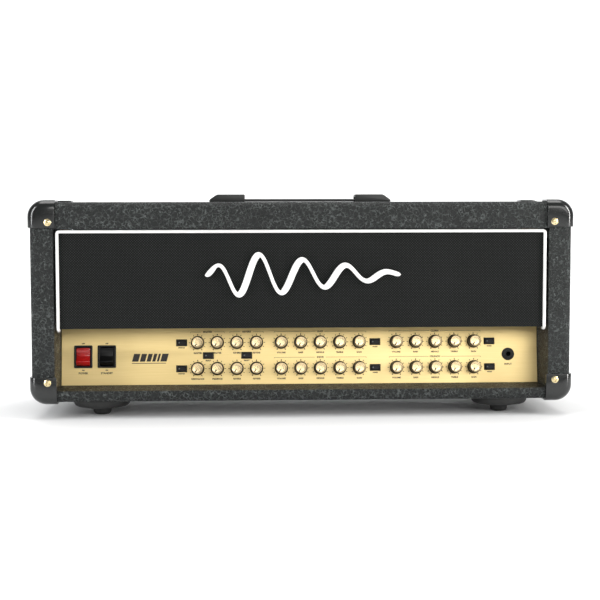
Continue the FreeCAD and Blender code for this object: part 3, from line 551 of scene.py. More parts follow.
redPlastic = newMaterial("redLens", (0.55, 0.012, 0.012), 0.22, Coat_Weight=0.4, Subsurface_Weight=0.25)
wornSurface(redPlastic, (0.46, 0.008, 0.008), (0.64, 0.02, 0.018), 150, 0.16, 0.3, 0.00002)
rubber = newMaterial("rubber", (0.012, 0.012, 0.012), 0.6)
wornSurface(rubber, (0.005, 0.0055, 0.005), (0.012, 0.0125, 0.012), 120, 0.5, 0.72, 0.00006)
paintedSteel = newMaterial("powderCoat", (0.012, 0.012, 0.0125), 0.5)
wornSurface(paintedSteel, (0.010, 0.010, 0.0105), (0.019, 0.0195, 0.02), 300, 0.42, 0.6, 0.00005)
iron = newMaterial("transformerIron", (0.02, 0.02, 0.022), 0.45, metallic=0.5)
wornSurface(iron, (0.015, 0.015, 0.017), (0.035, 0.034, 0.034), 80, 0.38, 0.6, 0.00008)
steel = newMaterial("platedSteel", (0.55, 0.55, 0.56), 0.3, metallic=1.0)
wornSurface(steel, (0.46, 0.46, 0.47), (0.64, 0.64, 0.65), 140, 0.22, 0.4, 0.00002)
ink = newMaterial("printedInk", (0.02, 0.014, 0.008), 0.5)
wornSurface(ink, (0.008, 0.006, 0.004), (0.018, 0.013, 0.008), 900, 0.42, 0.6, 0.00001)
lampLens = newMaterial("lampLens", (0.30, 0.32, 0.30), 0.12, Transmission_Weight=0.4)
wornSurface(lampLens, (0.22, 0.24, 0.22), (0.36, 0.38, 0.36), 500, 0.08, 0.2, 0.00001)
print("finishes ready")


viewpoint = {
    "position": (-0.0847, -1.9045, 0.2896),
    "turn": 2.555,  # degrees towards +X
    "down": 4.034,
    "roll": -0.1,
    "lens": 79.0,
}
cameraData = bpy.data.cameras.new("viewCamera")
cameraData.lens = viewpoint["lens"]
cameraData.sensor_width = 36
camera = bpy.data.objects.new("viewCamera", cameraData)
bpy.context.scene.collection.objects.link(camera)
camera.location = viewpoint["position"]
facing = Matrix.Rotation(math.radians(-viewpoint["turn"]), 4, "Z")
tilt = Matrix.Rotation(math.radians(90 - viewpoint["down"]), 4, "X")
roll = Matrix.Rotation(math.radians(viewpoint["roll"]), 4, "Z")
camera.matrix_world = Matrix.Translation(viewpoint["position"]) @ facing @ tilt @ roll
bpy.context.scene.camera = camera
bpy.context.scene.view_settings.view_transform = "Standard"

studio = {
    "worldStrength": 0.26,
    "floorColour": (0.90, 0.905, 0.91),
    "floorReach": 9.0,
    "wallStart": 3.2,
    "wallBend": 1.6,
    "bendSteps": 16,
    "lights": [
        # name, place, point it faces, size, watts, colour
        ("topSoftbox", (0.0, 0.1, 2.3), (0, 0, 0.2), (2.4, 1.5), 46, (1.0, 0.99, 0.98)),
        ("leftStrip", (-1.5, -0.85, 0.65), (-0.2, 0, 0.15), (0.2, 1.3), 16, (0.98, 0.99, 1.0)),
        ("rightStrip", (1.6, -0.9, 0.65), (0.2, 0, 0.15), (0.2, 1.3), 26, (1.0, 0.99, 0.97)),
        ("frontSoftbox", (1.1, -3.6, 1.25), (0.15, 0, 0.1), (3.0, 1.2), 46, (1.0, 0.99, 0.97)),
        ("backdropLight", (0.0, 1.3, 2.6), (0, 4.4, 0.9), (5.0, 0.8), 190, (1.0, 1.0, 1.0)),
    ],
}


def addLight(name, place, target, size, watts, colour):
    light = bpy.data.lights.new(name, "AREA")
    light.shape = "RECTANGLE"
    light.size, light.size_y = size
    light.energy = watts
    light.color = colour
    lamp = bpy.data.objects.new(name, light)
    bpy.context.scene.collection.objects.link(lamp)
    lamp.visible_camera = False
    lamp.location = place
    aim = Vector(target) - Vector(place)
    lamp.rotation_euler = aim.to_track_quat("-Z", "Y").to_euler()
    return lamp


for lightRow in studio["lights"]:
    addLight(*lightRow)
world = bpy.data.worlds.new("paleStudio")
bpy.context.scene.world = world
world.use_nodes = True
world.node_tree.nodes["Background"].inputs["Color"].default_value = (1, 1, 1, 1)
world.node_tree.nodes["Background"].inputs["Strength"].default_value = studio["worldStrength"]


def studioSweep():
    # floor that curves up into a back wall
    material = newMaterial("paleFloor", studio["floorColour"], 0.6)
    clouds = noise(material, 2.5, detail=3)
    lightFloor = studio["floorColour"]
    darkFloor = tuple(value * 0.985 for value in lightFloor)
    paint(material, ramp(material, clouds, [(0.3, darkFloor), (0.7, lightFloor)]))
    reach, start, bend = studio["floorReach"], studio["wallStart"], studio["wallBend"]
    profile = [(-reach, 0.0), (start, 0.0)]
    for step in range(1, studio["bendSteps"] + 1):
        angle = math.radians(90 * step / studio["bendSteps"])
        profile.append((start + bend * math.sin(angle), bend - bend * math.cos(angle)))
    profile.append((start + bend, reach))
    verts = [(side * reach, y, z) for y, z in profile for side in (-1, 1)]
    faces = [(2 * i, 2 * i + 1, 2 * i + 3, 2 * i + 2) for i in range(len(profile) - 1)]
    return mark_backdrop(addPiece("studioFloor", verts, faces, [material], smoothAngle=60))


studioSweep()
print("camera, lights and floor ready")


def paintNode(nodeName, material, smoothAngle=38):
    node = frame["nodes"][nodeName]
    node.data.materials.clear()
    node.data.materials.append(material)
    smoothBy(node.data, smoothAngle)


paintNode("cabinet_boards", plywood)
paintNode("vinyl_covering", vinyl)
paintNode("front_baffle", paintedSteel)
paintNode("control_panel", goldPanel)
paintNode("chassis", paintedSteel)
paintNode("potentiometers", steel)
paintNode("circuit_boards", board)
paintNode("transformers", iron)
paintNode("valves", valveGlass)
paintNode("white_piping", pipingPlastic, 60)
softened("corner_protectors", "cornerProtectors", cornerPlastic, 0.8 * mm, 3, 40)
softened("rear_panel", "rearPanel", paintedSteel, 0.3 * mm, 2, 40)
softened("rear_sockets", "rearSockets", blackPlastic, 0.4 * mm, 2, 40)
softened("handle_end_caps", "handleEndCaps", shellPlastic, 2.2 * mm, 5, 20)
print("cabinet dressed")


def grilleCloth():
    low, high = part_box("grille_cloth")
    columns = int((high.x - low.x) / clothSize["step"])
    rows = int((high.z - low.z) / clothSize["step"])
    gridX, gridZ = np.meshgrid(np.linspace(low.x, high.x, columns + 1), np.linspace(low.z, high.z, rows + 1))
    pitch = clothSize["dotPitch"]
    alongX = np.cos(2 * math.pi * gridX / pitch)
    alongZ = np.cos(2 * math.pi * gridZ / pitch)
    dots = np.clip(alongX * alongZ, 0, 1) ** 2
    yarn = np.cos(4 * math.pi * gridX / pitch + math.pi * np.round(gridZ / pitch * 2))
    edgeX = np.minimum(gridX - low.x, high.x - gridX) / (high.x - low.x)
    edgeZ = np.minimum(gridZ - low.z, high.z - gridZ) / (high.z - low.z)
    puff = clothSize["puff"] * np.clip(edgeX * edgeZ * 40, 0, 1)
    relief = clothSize["dotHeight"] * dots + clothSize["yarnHeight"] * yarn + puff
    y = low.y - relief + 0.4 * mm
    front = np.stack([gridX, y, gridZ], axis=-1).reshape(-1, 3)
    width = columns + 1
    faces = []
    for row in range(rows):
        start = row * width
        for column in range(columns):
            corner = start + column
            faces.append((corner, corner + 1, corner + width + 1, corner + width))
    verts = front.tolist()
    border = list(range(width))
    border += [row * width + columns for row in range(1, rows + 1)]
    border += [rows * width + column for column in range(columns - 1, -1, -1)]
    border += [row * width for row in range(rows - 1, 0, -1)]
    turned = len(verts)
    for index in border:
        verts.append((verts[index][0], high.y, verts[index][2]))
    for number, index in enumerate(border):
        after = (number + 1) % len(border)
        faces.append((border[after], index, turned + number, turned + after))
    piece = addPiece("grilleCloth", verts, faces, [cloth], smoothAngle=50)
    fitted(piece, "grille_cloth")
    return piece


grilleCloth()
print("grille cloth stretched")


emblemShape = {
    "waves": 4.5,
    "swing": 36 * mm,
    "middle": 197 * mm,
    "stroke": 9.4 * mm,
    "thin": 0.5,
    "rounding": 1.2 * mm,
    "steps": 320,
}


def frontEmblem():
    low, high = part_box("front_emblem")
    width = (high.x - low.x) - 1.5 * mm
    front = low.y
    back = low.y + 4 * mm
    rings = []
    for step in range(emblemShape["steps"] + 1):
        part = step / emblemShape["steps"]
        x = (part - 0.5) * width
        phase = 2 * math.pi * emblemShape["waves"] * part
        fade = emblemShape["swing"] * math.sin(math.pi * min(1, 4 * part) / 2) * (1 - part) ** 0.8
        z = emblemShape["middle"] + fade * math.sin(phase)
        slope = fade * math.cos(phase) * 2 * math.pi * emblemShape["waves"] / width
        reach = math.hypot(1, slope)
        lean = slope / reach
        # the stroke swells where it climbs and thins where it falls
        thin = emblemShape["thin"]
        half = emblemShape["stroke"] / 2 * (thin + (1 - thin) * (0.5 + 0.5 * lean))
        endRound = min(1.0, part * emblemShape["steps"] / 8, (1 - part) * emblemShape["steps"] / 8)
        half *= math.sqrt(max(0.02, 1 - (1 - endRound) ** 2))
        sideX, sideZ = -slope / reach, 1 / reach
        soft = min(emblemShape["rounding"], half * 0.6)
        edge = [(-half, back), (-half, front + soft)]
        for turn in range(1, 5):
            angle = math.pi / 2 * turn / 5
            edge.append((-half + soft * (1 - math.cos(angle)), front + soft * (1 - math.sin(angle))))
        edge.append((-half + soft, front))
        section = edge + [(-s, y) for s, y in edge[::-1]]
        rings.append([(x + sideX * s, y, z + sideZ * s) for s, y in section])
    verts, faces = loftedRings(rings)
    piece = addPiece("soundWaveEmblem", verts, faces, [whitePlastic], smoothAngle=50)
    return fitted(piece, "front_emblem")


frontEmblem()
print("emblem fixed")


knobShape = {
    "skirt": 9.5 * mm,
    "side": 8.35 * mm,
    "height": 17.5 * mm,
    "gap": 1.3 * mm,
    "flutes": 36,
    "fluteDepth": 0.16 * mm,
    "segments": 144,
    "restTurn": 150,
}


def knobMesh():
    shape = knobShape
    top = shape["height"]
    gold, dark = 0, 1
    profile = [
        (0, top - 0.5 * mm, gold),
        (2.0 * mm, top - 0.5 * mm, gold),
        (5.2 * mm, top - 0.45 * mm, gold),
        (6.2 * mm, top - 0.32 * mm, gold),
        (6.7 * mm, top - 0.04 * mm, gold),
        (6.95 * mm, top, gold),
        (7.2 * mm, top - 0.08 * mm, gold),
        (7.4 * mm, top - 0.35 * mm, gold),
        (7.45 * mm, top - 0.75 * mm, dark),
        (7.7 * mm, top - 0.7 * mm, dark),
        (8.0 * mm, top - 0.9 * mm, dark),
        (8.22 * mm, top - 1.4 * mm, dark),
        (shape["side"], top - 2.4 * mm, dark),
        (shape["side"] + 0.08 * mm, top - 7 * mm, dark),
        (shape["side"] + 0.16 * mm, 5.0 * mm, dark),
        (shape["side"] + 0.3 * mm, 4.2 * mm, dark),
        (shape["skirt"] - 0.5 * mm, 3.5 * mm, dark),
        (shape["skirt"] - 0.1 * mm, 3.1 * mm, dark),
        (shape["skirt"], 2.7 * mm, dark),
        (shape["skirt"], 1.7 * mm, dark),
        (shape["skirt"] - 0.3 * mm, shape["gap"], dark),
        (3.6 * mm, shape["gap"], dark),
        (3.3 * mm, 0.2 * mm, dark),
        (0, 0.2 * mm, dark),
    ]

    def flute(radius, height, angle):
        inside = 4.4 * mm < height < top - 2.0 * mm
        if not inside:
            return radius
        return radius - shape["fluteDepth"] * (0.5 - 0.5 * math.cos(angle * shape["flutes"]))

    verts, faces, faceMaterials = turnedShape(profile, shape["segments"], flute)
    # pointer: an inked bar on the cap, from near the middle out to its edge
    bar = [(-0.75 * mm, 2.2 * mm), (0.75 * mm, 2.2 * mm), (0.75 * mm, 6.9 * mm), (-0.75 * mm, 6.9 * mm)]
    start = len(verts)
    for height in (top - 0.6 * mm, top - 0.28 * mm):
        verts += [(x, y, height) for x, y in bar]
    faces.append((start + 4, start + 5, start + 6, start + 7))
    for step in range(4):
        after = (step + 1) % 4
        faces.append((start + step, start + after, start + 4 + after, start + 4 + step))
    faces.append((start + 3, start + 2, start + 1, start))
    faceMaterials += [2] * 6
    return verts, faces, faceMaterials


def placeKnobs():
    verts, faces, faceMaterials = knobMesh()
    finishes = [spunGold, knobPlastic, ink]
    pieces = []
    names = sorted(name for name in frame["nodes"] if name.endswith("_knob"))
    for name in names:
        matrix = panelMatrix(joints[name]["pos_m"], knobShape["restTurn"])
        pieceName = name.title().replace("_", "")
        if pieces:
            piece = copyOf(pieces[0], pieceName, matrix)
        else:
            piece = addPiece(pieceName, verts, faces, finishes, faceMaterials, 28, matrix)
        pieces.append(fitted(piece, name, name))
    return names


knobNames = placeKnobs()
print("knobs fitted:", len(knobNames))


buttonShape = {
    "width": 13.2 * mm,
    "height": 7.4 * mm,
    "round": 1.9 * mm,
    "rise": 3.3 * mm,
    "lampOffset": -3.3 * mm,
}
bezelShape = {"lip": 1.1 * mm, "rise": 1.0 * mm, "gap": 0.4 * mm}
rockerShape = {
    "width": 18.8 * mm,
    "reach": 13.1 * mm,
    "pivotDepth": 3.0 * mm,
    "restTilt": 11,
    "arcStart": -28,
    "arcEnd": 38,
    "valley": 5.4 * mm,
    "gripRise": 0.45 * mm,
    "bezelWidth": 26 * mm,
    "bezelHeight": 32 * mm,
    "bezelRise": 1.6 * mm,
}


def frameMesh(outer, inner, rise, depth, soft):
    # a rounded frame: outer and inner are rings of points, soft its rounded edge
    def level(points, shrink, height):
        out = []
        for x, y in points:
            length = math.hypot(x, y) or 1
            out.append((x - x / length * shrink, y - y / length * shrink, height))
        return out

    rings = [
        level(outer, 0, 0),
        level(outer, 0, rise - soft),
        level(outer, soft * 0.3, rise - soft * 0.3),
        level(outer, soft, rise),
        level(inner, -soft, rise),
        level(inner, -soft * 0.3, rise - soft * 0.3),
        level(inner, 0, rise - soft),
        level(inner, 0, -depth),
    ]
    return loftedRings(rings, closeEnds=False)


def pushButtons():
    shape = buttonShape
    outline = roundedRectangle(shape["width"], shape["height"], shape["round"], 6)

    def level(shrink, height):
        scaleX = 1 - 2 * shrink / shape["width"]
        scaleY = 1 - 2 * shrink / shape["height"]
        return [(x * scaleX, y * scaleY, height) for x, y in outline]

    rise = shape["rise"]
    rings = [level(0, -5.4 * mm), level(0, rise - 0.9 * mm), level(0.12 * mm, rise - 0.45 * mm)]
    rings += [level(0.4 * mm, rise - 0.12 * mm), level(0.8 * mm, rise), level(1.8 * mm, rise - 0.12 * mm)]
    verts, faces = loftedRings(rings)
    faceMaterials = [0] * len(faces)
    lens, lensFaces, _ = turnedShape(
        [(0, 0.55 * mm, 0), (0.6 * mm, 0.45 * mm, 0), (0.95 * mm, 0.1 * mm, 0), (1.0 * mm, -0.4 * mm, 0)], 20
    )
    start = len(verts)
    verts = list(verts) + [(x + shape["lampOffset"], y, z + rise - 0.15 * mm) for x, y, z in lens]
    faces = list(faces) + [tuple(index + start for index in face) for face in lensFaces]
    faceMaterials += [1] * len(lensFaces)
    pieces = []
    for name in sorted(name for name in frame["nodes"] if name.endswith("_button")):
        matrix = panelMatrix(middleOf(name))
        pieceName = name.title().replace("_", "")
        if pieces:
            piece = copyOf(pieces[0], pieceName, matrix)
        else:
            piece = addPiece(pieceName, verts, faces, [blackPlastic, lampLens], faceMaterials, 35, matrix)
        pieces.append(fitted(piece, name, name))


def rockerMesh():
    # side outline: a shallow V between two arcs about the pivot, with a grip bar near each end
    reach, valley = rockerShape["reach"], rockerShape["valley"]
    arcStart, arcEnd = rockerShape["arcStart"], rockerShape["arcEnd"]
    outline = []
    for step in range(9):
        angle = math.radians(arcStart + (arcEnd - arcStart) * step / 8)
        outline.append((reach * math.cos(angle), reach * math.sin(angle)))
    slopeTop = reach * math.sin(math.radians(arcEnd))
    for part in (0.86, 0.8, 0.72, 0.66, 0.5, 0.34, 0.2, 0.09, 0.0):
        bar = rockerShape["gripRise"] if part in (0.8, 0.72) else 0.0
        height = valley + (slopeTop - valley) * part ** 1.15 + bar
        outline.append((reach * math.cos(math.radians(arcEnd)) * part, height))
    mirrored = [(-y, z) for y, z in outline[::-1] if y > 1e-6]
    outline += mirrored
    half = rockerShape["width"] / 2
    rings = []
    sides = [(-half, 0.7 * mm), (-half + 0.25 * mm, 0.2 * mm), (-half + 0.8 * mm, 0)]
    sides += [(half - 0.8 * mm, 0), (half - 0.25 * mm, 0.2 * mm), (half, 0.7 * mm)]
    for x, shrink in sides:
        ring = []
        for y, z in outline:
            length = math.hypot(y, z)
            ring.append((x, y * (1 - shrink / length), z * (1 - shrink / length)))
        rings.append(ring)
    return loftedRings(rings)


def rockerSwitches():
    verts, faces = rockerMesh()
    for name, material, slotName in (
        ("power_rocker", redPlastic, "rocker_red"),
        ("standby_rocker", blackPlastic, "rocker_black"),
    ):
        tilted = Matrix.Rotation(math.radians(-rockerShape["restTilt"]), 4, "X")
        matrix = panelMatrix(joints[name]["pos_m"]) @ tilted
        pieceName = name.title().replace("_", "")
        piece = addPiece(pieceName, verts, faces, [material], smoothAngle=40, matrix=matrix)
        fitted(piece, name, name)


def switchBezels():
    parts = []
    shape = rockerShape
    outer = roundedRectangle(shape["bezelWidth"], shape["bezelHeight"], 1.6 * mm, 5)
    inner = roundedRectangle(shape["width"] + 0.7 * mm, 2 * shape["reach"] + 0.8 * mm, 0.8 * mm, 5)
    verts, faces = frameMesh(outer, inner, shape["bezelRise"], 14 * mm, 0.5 * mm)
    for name in ("power_rocker", "standby_rocker"):
        centre = Vector(joints[name]["pos_m"]) + panelOut * shape["pivotDepth"]
        parts.append((verts, faces, panelMatrix(centre)))
    shape = bezelShape
    extra = 2 * shape["lip"]
    gap = 2 * shape["gap"]
    outer = roundedRectangle(buttonShape["width"] + extra, buttonShape["height"] + extra, 2.2 * mm, 5)
    inner = roundedRectangle(buttonShape["width"] + gap, buttonShape["height"] + gap, 1.9 * mm, 5)
    verts, faces = frameMesh(outer, inner, shape["rise"], 7 * mm, 0.3 * mm)
    for name in joints:
        if name.endswith("_button"):
            parts.append((verts, faces, panelMatrix(middleOf(name))))
    allVerts = []
    allFaces = []
    for verts, faces, matrix in parts:
        start = len(allVerts)
        allVerts += [matrix @ Vector(v) for v in verts]
        allFaces += [tuple(index + start for index in face) for face in faces]
    piece = addPiece("switchBezels", allVerts, allFaces, [blackPlastic], smoothAngle=35)
    fitted(piece, "switch_housings")


pushButtons()
rockerSwitches()
switchBezels()
print("switches fitted")


socketShape = {"bore": 3.25 * mm, "deep": 22 * mm, "segments": 60}


def inputSocket():
    outward = Vector(inputMount["axis"])
    centre = Vector(inputMount["pos_m"])
    centre += outward * (panelOrigin - centre).dot(panelOut)
    bore, deep = socketShape["bore"], socketShape["deep"]
    profile = [
        (bore, -deep, 0),
        (bore, 2.9 * mm, 0),
        (3.6 * mm, 3.4 * mm, 0),
        (4.9 * mm, 3.45 * mm, 0),
        (5.3 * mm, 3.1 * mm, 0),
        (5.4 * mm, 2.2 * mm, 0),
        (6.6 * mm, 2.15 * mm, 0),
        (8.2 * mm, 1.95 * mm, 0),
        (8.9 * mm, 1.2 * mm, 0),
        (9.0 * mm, 0.0, 0),
    ]
    verts, faces, _ = turnedShape(profile, socketShape["segments"])
    floor = [(0, -deep + 0.1 * mm, 0), (bore, -deep, 0)]
    floorVerts, floorFaces, _ = turnedShape(floor, socketShape["segments"])
    start = len(verts)
    verts += floorVerts
    faces += [tuple(index + start for index in face) for face in floorFaces]
    piece = addPiece("inputSocket", verts, faces, [blackPlastic], smoothAngle=35, matrix=panelMatrix(centre))
    fitted(piece, "input_jack")


inputSocket()


printing = {
    "thickness": 0.05 * mm,
    "tickStart": 10.2 * mm,
    "tickEnd": 12.4 * mm,
    "tickWidth": 0.8 * mm,
    "labelDrop": 14.8 * mm,
    "titleRise": 15.2 * mm,
    "labelSize": 3.0 * mm,
    "titleSize": 3.4 * mm,
    "switchSize": 3.6 * mm,
    "buttonSize": 2.3 * mm,
    "smallSize": 2.2 * mm,
    "ruleWidth": 0.45 * mm,
    "bold": 0.16 * mm,
}

plainMark = {
    "left": -240 * mm,
    "up": 10.5 * mm,
    "height": 11 * mm,
    "slant": 0.28,
    "lineDrop": 2.4 * mm,
    "lineLength": 48 * mm,
    "lineWidth": 0.9 * mm,
    "bars": [
        # how far along, width
        (0, 9 * mm),
        (11 * mm, 7.5 * mm),
        (20.5 * mm, 6 * mm),
        (28.5 * mm, 4.5 * mm),
        (35 * mm, 3 * mm),
        (40 * mm, 9 * mm),
    ],
}


class InkSheet:
    # gathers flat printed shapes on the panel and makes one piece of them
    def __init__(self):
        self.verts = []
        self.faces = []

    def addOutline(self, points):
        # points are (x, up) on the panel
        start = len(self.verts)
        lift = printing["thickness"]
        for x, up in points:
            self.verts.append(panelPoint(x, up, lift))
        self.faces.append(tuple(range(start, start + len(points))))

    def addBar(self, startPoint, endPoint, width):
        start, end = Vector(startPoint), Vector(endPoint)
        along = (end - start).normalized()
        side = Vector((-along.y, along.x)) * width / 2
        self.addOutline([start - side, end - side, end + side, start + side])

    def addText(self, words, x, up, size):
        curve = bpy.data.curves.new("word", "FONT")
        curve.body = words
        curve.size = size
        curve.offset = printing["bold"]
        curve.align_x = "CENTER"
        curve.align_y = "CENTER"
        curve.resolution_u = 2
        curve.space_character = 1.06
        text = bpy.data.objects.new("word", curve)
        bpy.context.scene.collection.objects.link(text)
        bpy.context.view_layer.update()
        mesh = bpy.data.meshes.new_from_object(text)
        start = len(self.verts)
        self.verts += [panelPoint(x + v.co.x, up + v.co.y, printing["thickness"]) for v in mesh.vertices]
        self.faces += [tuple(index + start for index in face.vertices) for face in mesh.polygons]
        bpy.data.objects.remove(text)
        bpy.data.meshes.remove(mesh)
        bpy.data.curves.remove(curve)


def printedLegends():
    sheet = InkSheet()
    for name in knobNames:
        centre = joints[name]["pos_m"]
        x, up = centre[0], alongPanel(centre)
        for mark in range(11):
            angle = math.radians(150 - 30 * mark)
            direction = Vector((-math.sin(angle), math.cos(angle)))
            middle = Vector((x, up))
            width = printing["tickWidth"] * (1.5 if mark in (0, 5, 10) else 1)
            inner, outer = direction * printing["tickStart"], direction * printing["tickEnd"]
            sheet.addBar(middle + inner, middle + outer, width)
        word = name.replace("_knob", "").split("_")
        label = word[-1] if word[-1] in ("volume", "bass", "middle", "treble", "gain") else word[0]
        sheet.addText(label.upper(), x, up - printing["labelDrop"], printing["labelSize"])
    groups = [
        ("MASTER", "master_one_knob", "master_two_knob"),
        ("REVERB", "reverb_clean_knob", "reverb_crunch_knob"),
        ("LEAD", "lead_volume_knob", "lead_gain_knob"),
        ("CLEAN", "clean_volume_knob", "clean_gain_knob"),
        ("DRIVE", "drive_volume_knob", "drive_gain_knob"),
        ("CRUNCH", "crunch_volume_knob", "crunch_gain_knob"),
    ]
    for title, firstKnob, lastKnob in groups:
        left, right = joints[firstKnob]["pos_m"], joints[lastKnob]["pos_m"]
        up = alongPanel(left) + printing["titleRise"]
        middle = (left[0] + right[0]) / 2
        reach = (right[0] - left[0]) / 2 + 10 * mm
        wordHalf = len(title) * 1.35 * mm
        sheet.addText(title, middle, up, printing["titleSize"])
        for side in (-1, 1):
            inner = middle + side * (wordHalf + 1 * mm)
            outer = middle + side * reach
            if abs(outer - inner) > 1 * mm and (outer - inner) * side > 0:
                sheet.addBar((inner, up), (outer, up), printing["ruleWidth"])
                sheet.addBar((outer, up), (outer, up - 1.6 * mm), printing["ruleWidth"])
    for name, label in (("power_rocker", "POWER"), ("standby_rocker", "STANDBY")):
        centre = Vector(joints[name]["pos_m"])
        up = alongPanel(centre + panelOut * rockerShape["pivotDepth"])
        sheet.addText(label, centre.x, up - 23.5 * mm, printing["switchSize"])
        sheet.addText("ON", centre.x, up - 19.3 * mm, printing["smallSize"])
        sheet.addText("OFF", centre.x, up + 18.4 * mm, printing["smallSize"])
    socket = inputMount["pos_m"]
    sheet.addText("INPUT", socket[0], alongPanel(socket) - 14.5 * mm, printing["switchSize"])
    for name in joints:
        if name.endswith("_button"):
            centre = middleOf(name)
            label = "SELECT" if "select" in name or "reverb" in name else "MODE"
            if "foot" in name or "program" in name:
                label = "SWITCH"
            sheet.addText(label, centre[0], alongPanel(centre) - 7.2 * mm, printing["buttonSize"])
    low, high = plainMark["up"], plainMark["up"] + plainMark["height"]
    shift = plainMark["slant"] * plainMark["height"]
    for along, wide in plainMark["bars"]:
        x = plainMark["left"] + along
        sheet.addOutline([(x, low), (x + wide, low), (x + wide + shift, high), (x + shift, high)])
    lineUp = low - plainMark["lineDrop"]
    lineStart, lineEnd = plainMark["left"], plainMark["left"] + plainMark["lineLength"]
    sheet.addBar((lineStart, lineUp), (lineEnd, lineUp), plainMark["lineWidth"])
    piece = addPiece("printedLegends", sheet.verts, sheet.faces, [ink], smoothAngle=35)
    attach(piece, body)


printedLegends()
print("legends printed")


screwShape = {
    "radius": 4.9 * mm,
    "rise": 1.5 * mm,
    "crossLong": 3.3 * mm,
    "crossWide": 0.8 * mm,
    "crossDeep": 1.2 * mm,
    "rings": 26,
    "segments": 72,
    "turnStep": 37,  # degrees from one head to the next, so that no two crosses line up
}


def screwMesh():
    shape = screwShape
    rings, segments = shape["rings"], shape["segments"]
    verts = [(0, 0, shape["rise"] - shape["crossDeep"])]
    for ring in range(1, rings + 1):
        radius = shape["radius"] * ring / rings
        dome = shape["rise"] * (1 - (ring / rings) ** 2.4) + 0.1 * mm
        for step in range(segments):
            angle = 2 * math.pi * step / segments
            x, y = radius * math.cos(angle), radius * math.sin(angle)
            taper = 1 - 0.35 * radius / shape["crossLong"]
            wide = shape["crossWide"] * max(0.55, taper)
            inCross = min(abs(x), abs(y)) < wide and radius < shape["crossLong"]
            verts.append((x, y, dome - (shape["crossDeep"] if inCross else 0)))
    for step in range(segments):
        angle = 2 * math.pi * step / segments
        verts.append((shape["radius"] * math.cos(angle), shape["radius"] * math.sin(angle), -0.2 * mm))
    faces = [(0, 1 + step, 1 + (step + 1) % segments) for step in range(segments)]
    for ring in range(rings):
        low = 1 + ring * segments
        high = low + segments
        for step in range(segments):
            after = (step + 1) % segments
            faces.append((low + step, high + step, high + after, low + after))
    return verts, faces


def screws():
    # each head sits where the frame has one
    node = frame["nodes"]["screws"]
    work = bmesh.new()
    work.from_mesh(node.data)
    bmesh.ops.remove_doubles(work, verts=work.verts, dist=2e-6)
    islands = []
    unseen = set(work.verts)
    while unseen:
        stack = [unseen.pop()]
        island = []
        while stack:
            vert = stack.pop()
            island.append(vert.co.copy())
            for edge in vert.link_edges:
                other = edge.other_vert(vert)
                if other in unseen:
                    unseen.remove(other)
                    stack.append(other)
        islands.append(np.array(island))
    work.free()
    headVerts, headFaces = screwMesh()
    verts = []
    faces = []
    for number, island in enumerate(sorted(islands, key=lambda points: tuple(points.mean(0).round(5)))):
        low, high = island.min(0), island.max(0)
        centre = (low + high) / 2
        thin = int(np.argmin(high - low))
        normal = Vector((0, 0, 0))
        normal[thin] = 1 if centre[thin] > 0 else -1
        seat = Vector(centre)
        seat[thin] = low[thin] if centre[thin] > 0 else high[thin]
        turn = Matrix.Rotation(math.radians(screwShape["turnStep"] * number), 4, "Z")
        matrix = Matrix.Translation(seat) @ normal.to_track_quat("Z", "Y").to_matrix().to_4x4() @ turn
        start = len(verts)
        verts += [matrix @ Vector(v) for v in headVerts]
        faces += [tuple(index + start for index in face) for face in headFaces]
    piece = addPiece("crossScrews", verts, faces, [brass], smoothAngle=40)
    fitted(piece, "screws")
    return len(islands)


print("screws fitted:", screws())


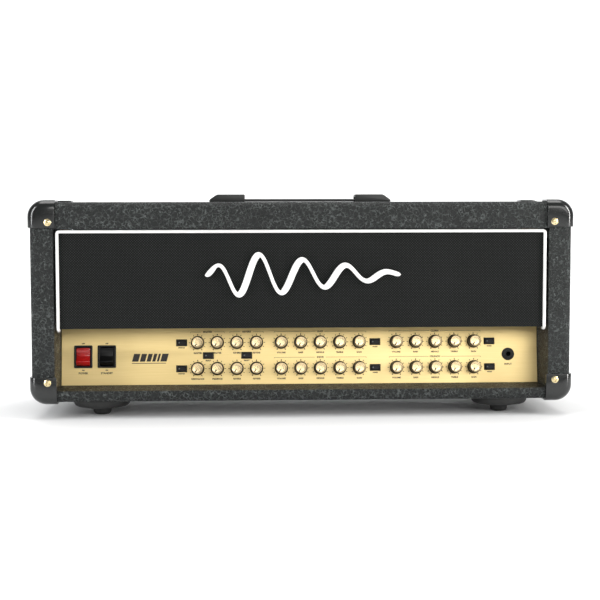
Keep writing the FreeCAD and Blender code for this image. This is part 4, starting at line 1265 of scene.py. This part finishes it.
footShape = {
    "profile": [
        # radius and height in millimetres, from the floor up
        (0, 0.0), (7.6, 0.0), (9.6, 0.5), (11.2, 1.8), (12.2, 4.0), (12.5, 6.2), (12.5, 7.9), (13.1, 8.7),
        (18.4, 9.1), (19.8, 9.4), (20.6, 10.2), (21.0, 11.2), (21.9, 11.9), (34.6, 12.4), (36.1, 12.8),
        (37.4, 13.8), (39.0, 16.2), (39.8, 18.6), (40.0, 20.4), (40.0, 22.95), (0, 22.95),
    ]
}


def rubberFeet():
    low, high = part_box("rubber_feet")
    profile = [(radius * mm, height * mm, 0) for radius, height in footShape["profile"]]
    verts, faces, faceMaterials = turnedShape(profile, 96)
    pieces = []
    reach = footShape["profile"][-2][0] * mm
    for number, (x, y) in enumerate([(low.x, low.y), (high.x, low.y), (low.x, high.y), (high.x, high.y)]):
        centre = (x - math.copysign(reach, x), y - math.copysign(reach, y), 0)
        matrix = Matrix.Translation(centre)
        pieceName = "rubberFoot%d" % number
        if pieces:
            piece = copyOf(pieces[0], pieceName, matrix)
        else:
            piece = addPiece(pieceName, verts, faces, [rubber], faceMaterials, 60, matrix)
        pieces.append(fitted(piece, "rubber_feet"))


rubberFeet()
print("feet fitted")


strapShape = {"steps": 110, "rib": 0.35 * mm, "ribs": 3, "round": 1.4 * mm, "bendHalf": 35 * mm}


def carryingStrap():
    leftLow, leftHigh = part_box("strap_left")
    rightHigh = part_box("strap_right")[1]
    bottom, top = leftLow.z, leftHigh.z
    half = leftHigh.y
    rings = []
    for step in range(strapShape["steps"] + 1):
        x = leftLow.x + (rightHigh.x - leftLow.x) * step / strapShape["steps"]
        section = []
        soft = strapShape["round"]
        for cornerY, cornerZ, start in ((1, 1, 0), (-1, 1, 90), (-1, -1, 180), (1, -1, 270)):
            for turn in range(7):
                angle = math.radians(start + 15 * turn)
                y = cornerY * (half - soft) + soft * math.cos(angle)
                z = (top if cornerZ > 0 else bottom) - cornerZ * soft + soft * math.sin(angle)
                section.append((x, y, z))
            if start == 0:
                # ribbed top between the first two corners
                for rib in range(1, 24):
                    y = (half - soft) * (1 - rib / 12)
                    wave = 0.5 - 0.5 * math.cos(2 * math.pi * strapShape["ribs"] * rib / 24)
                    section.append((x, y, top - strapShape["rib"] * wave))
        rings.append(section)
    verts, faces = loftedRings(rings)
    piece = addPiece("carryingStrap", verts, faces, [shellPlastic], smoothAngle=40)
    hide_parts("strap_left", "strap_right")
    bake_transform(piece)


carryingStrap()
print("strap fitted")
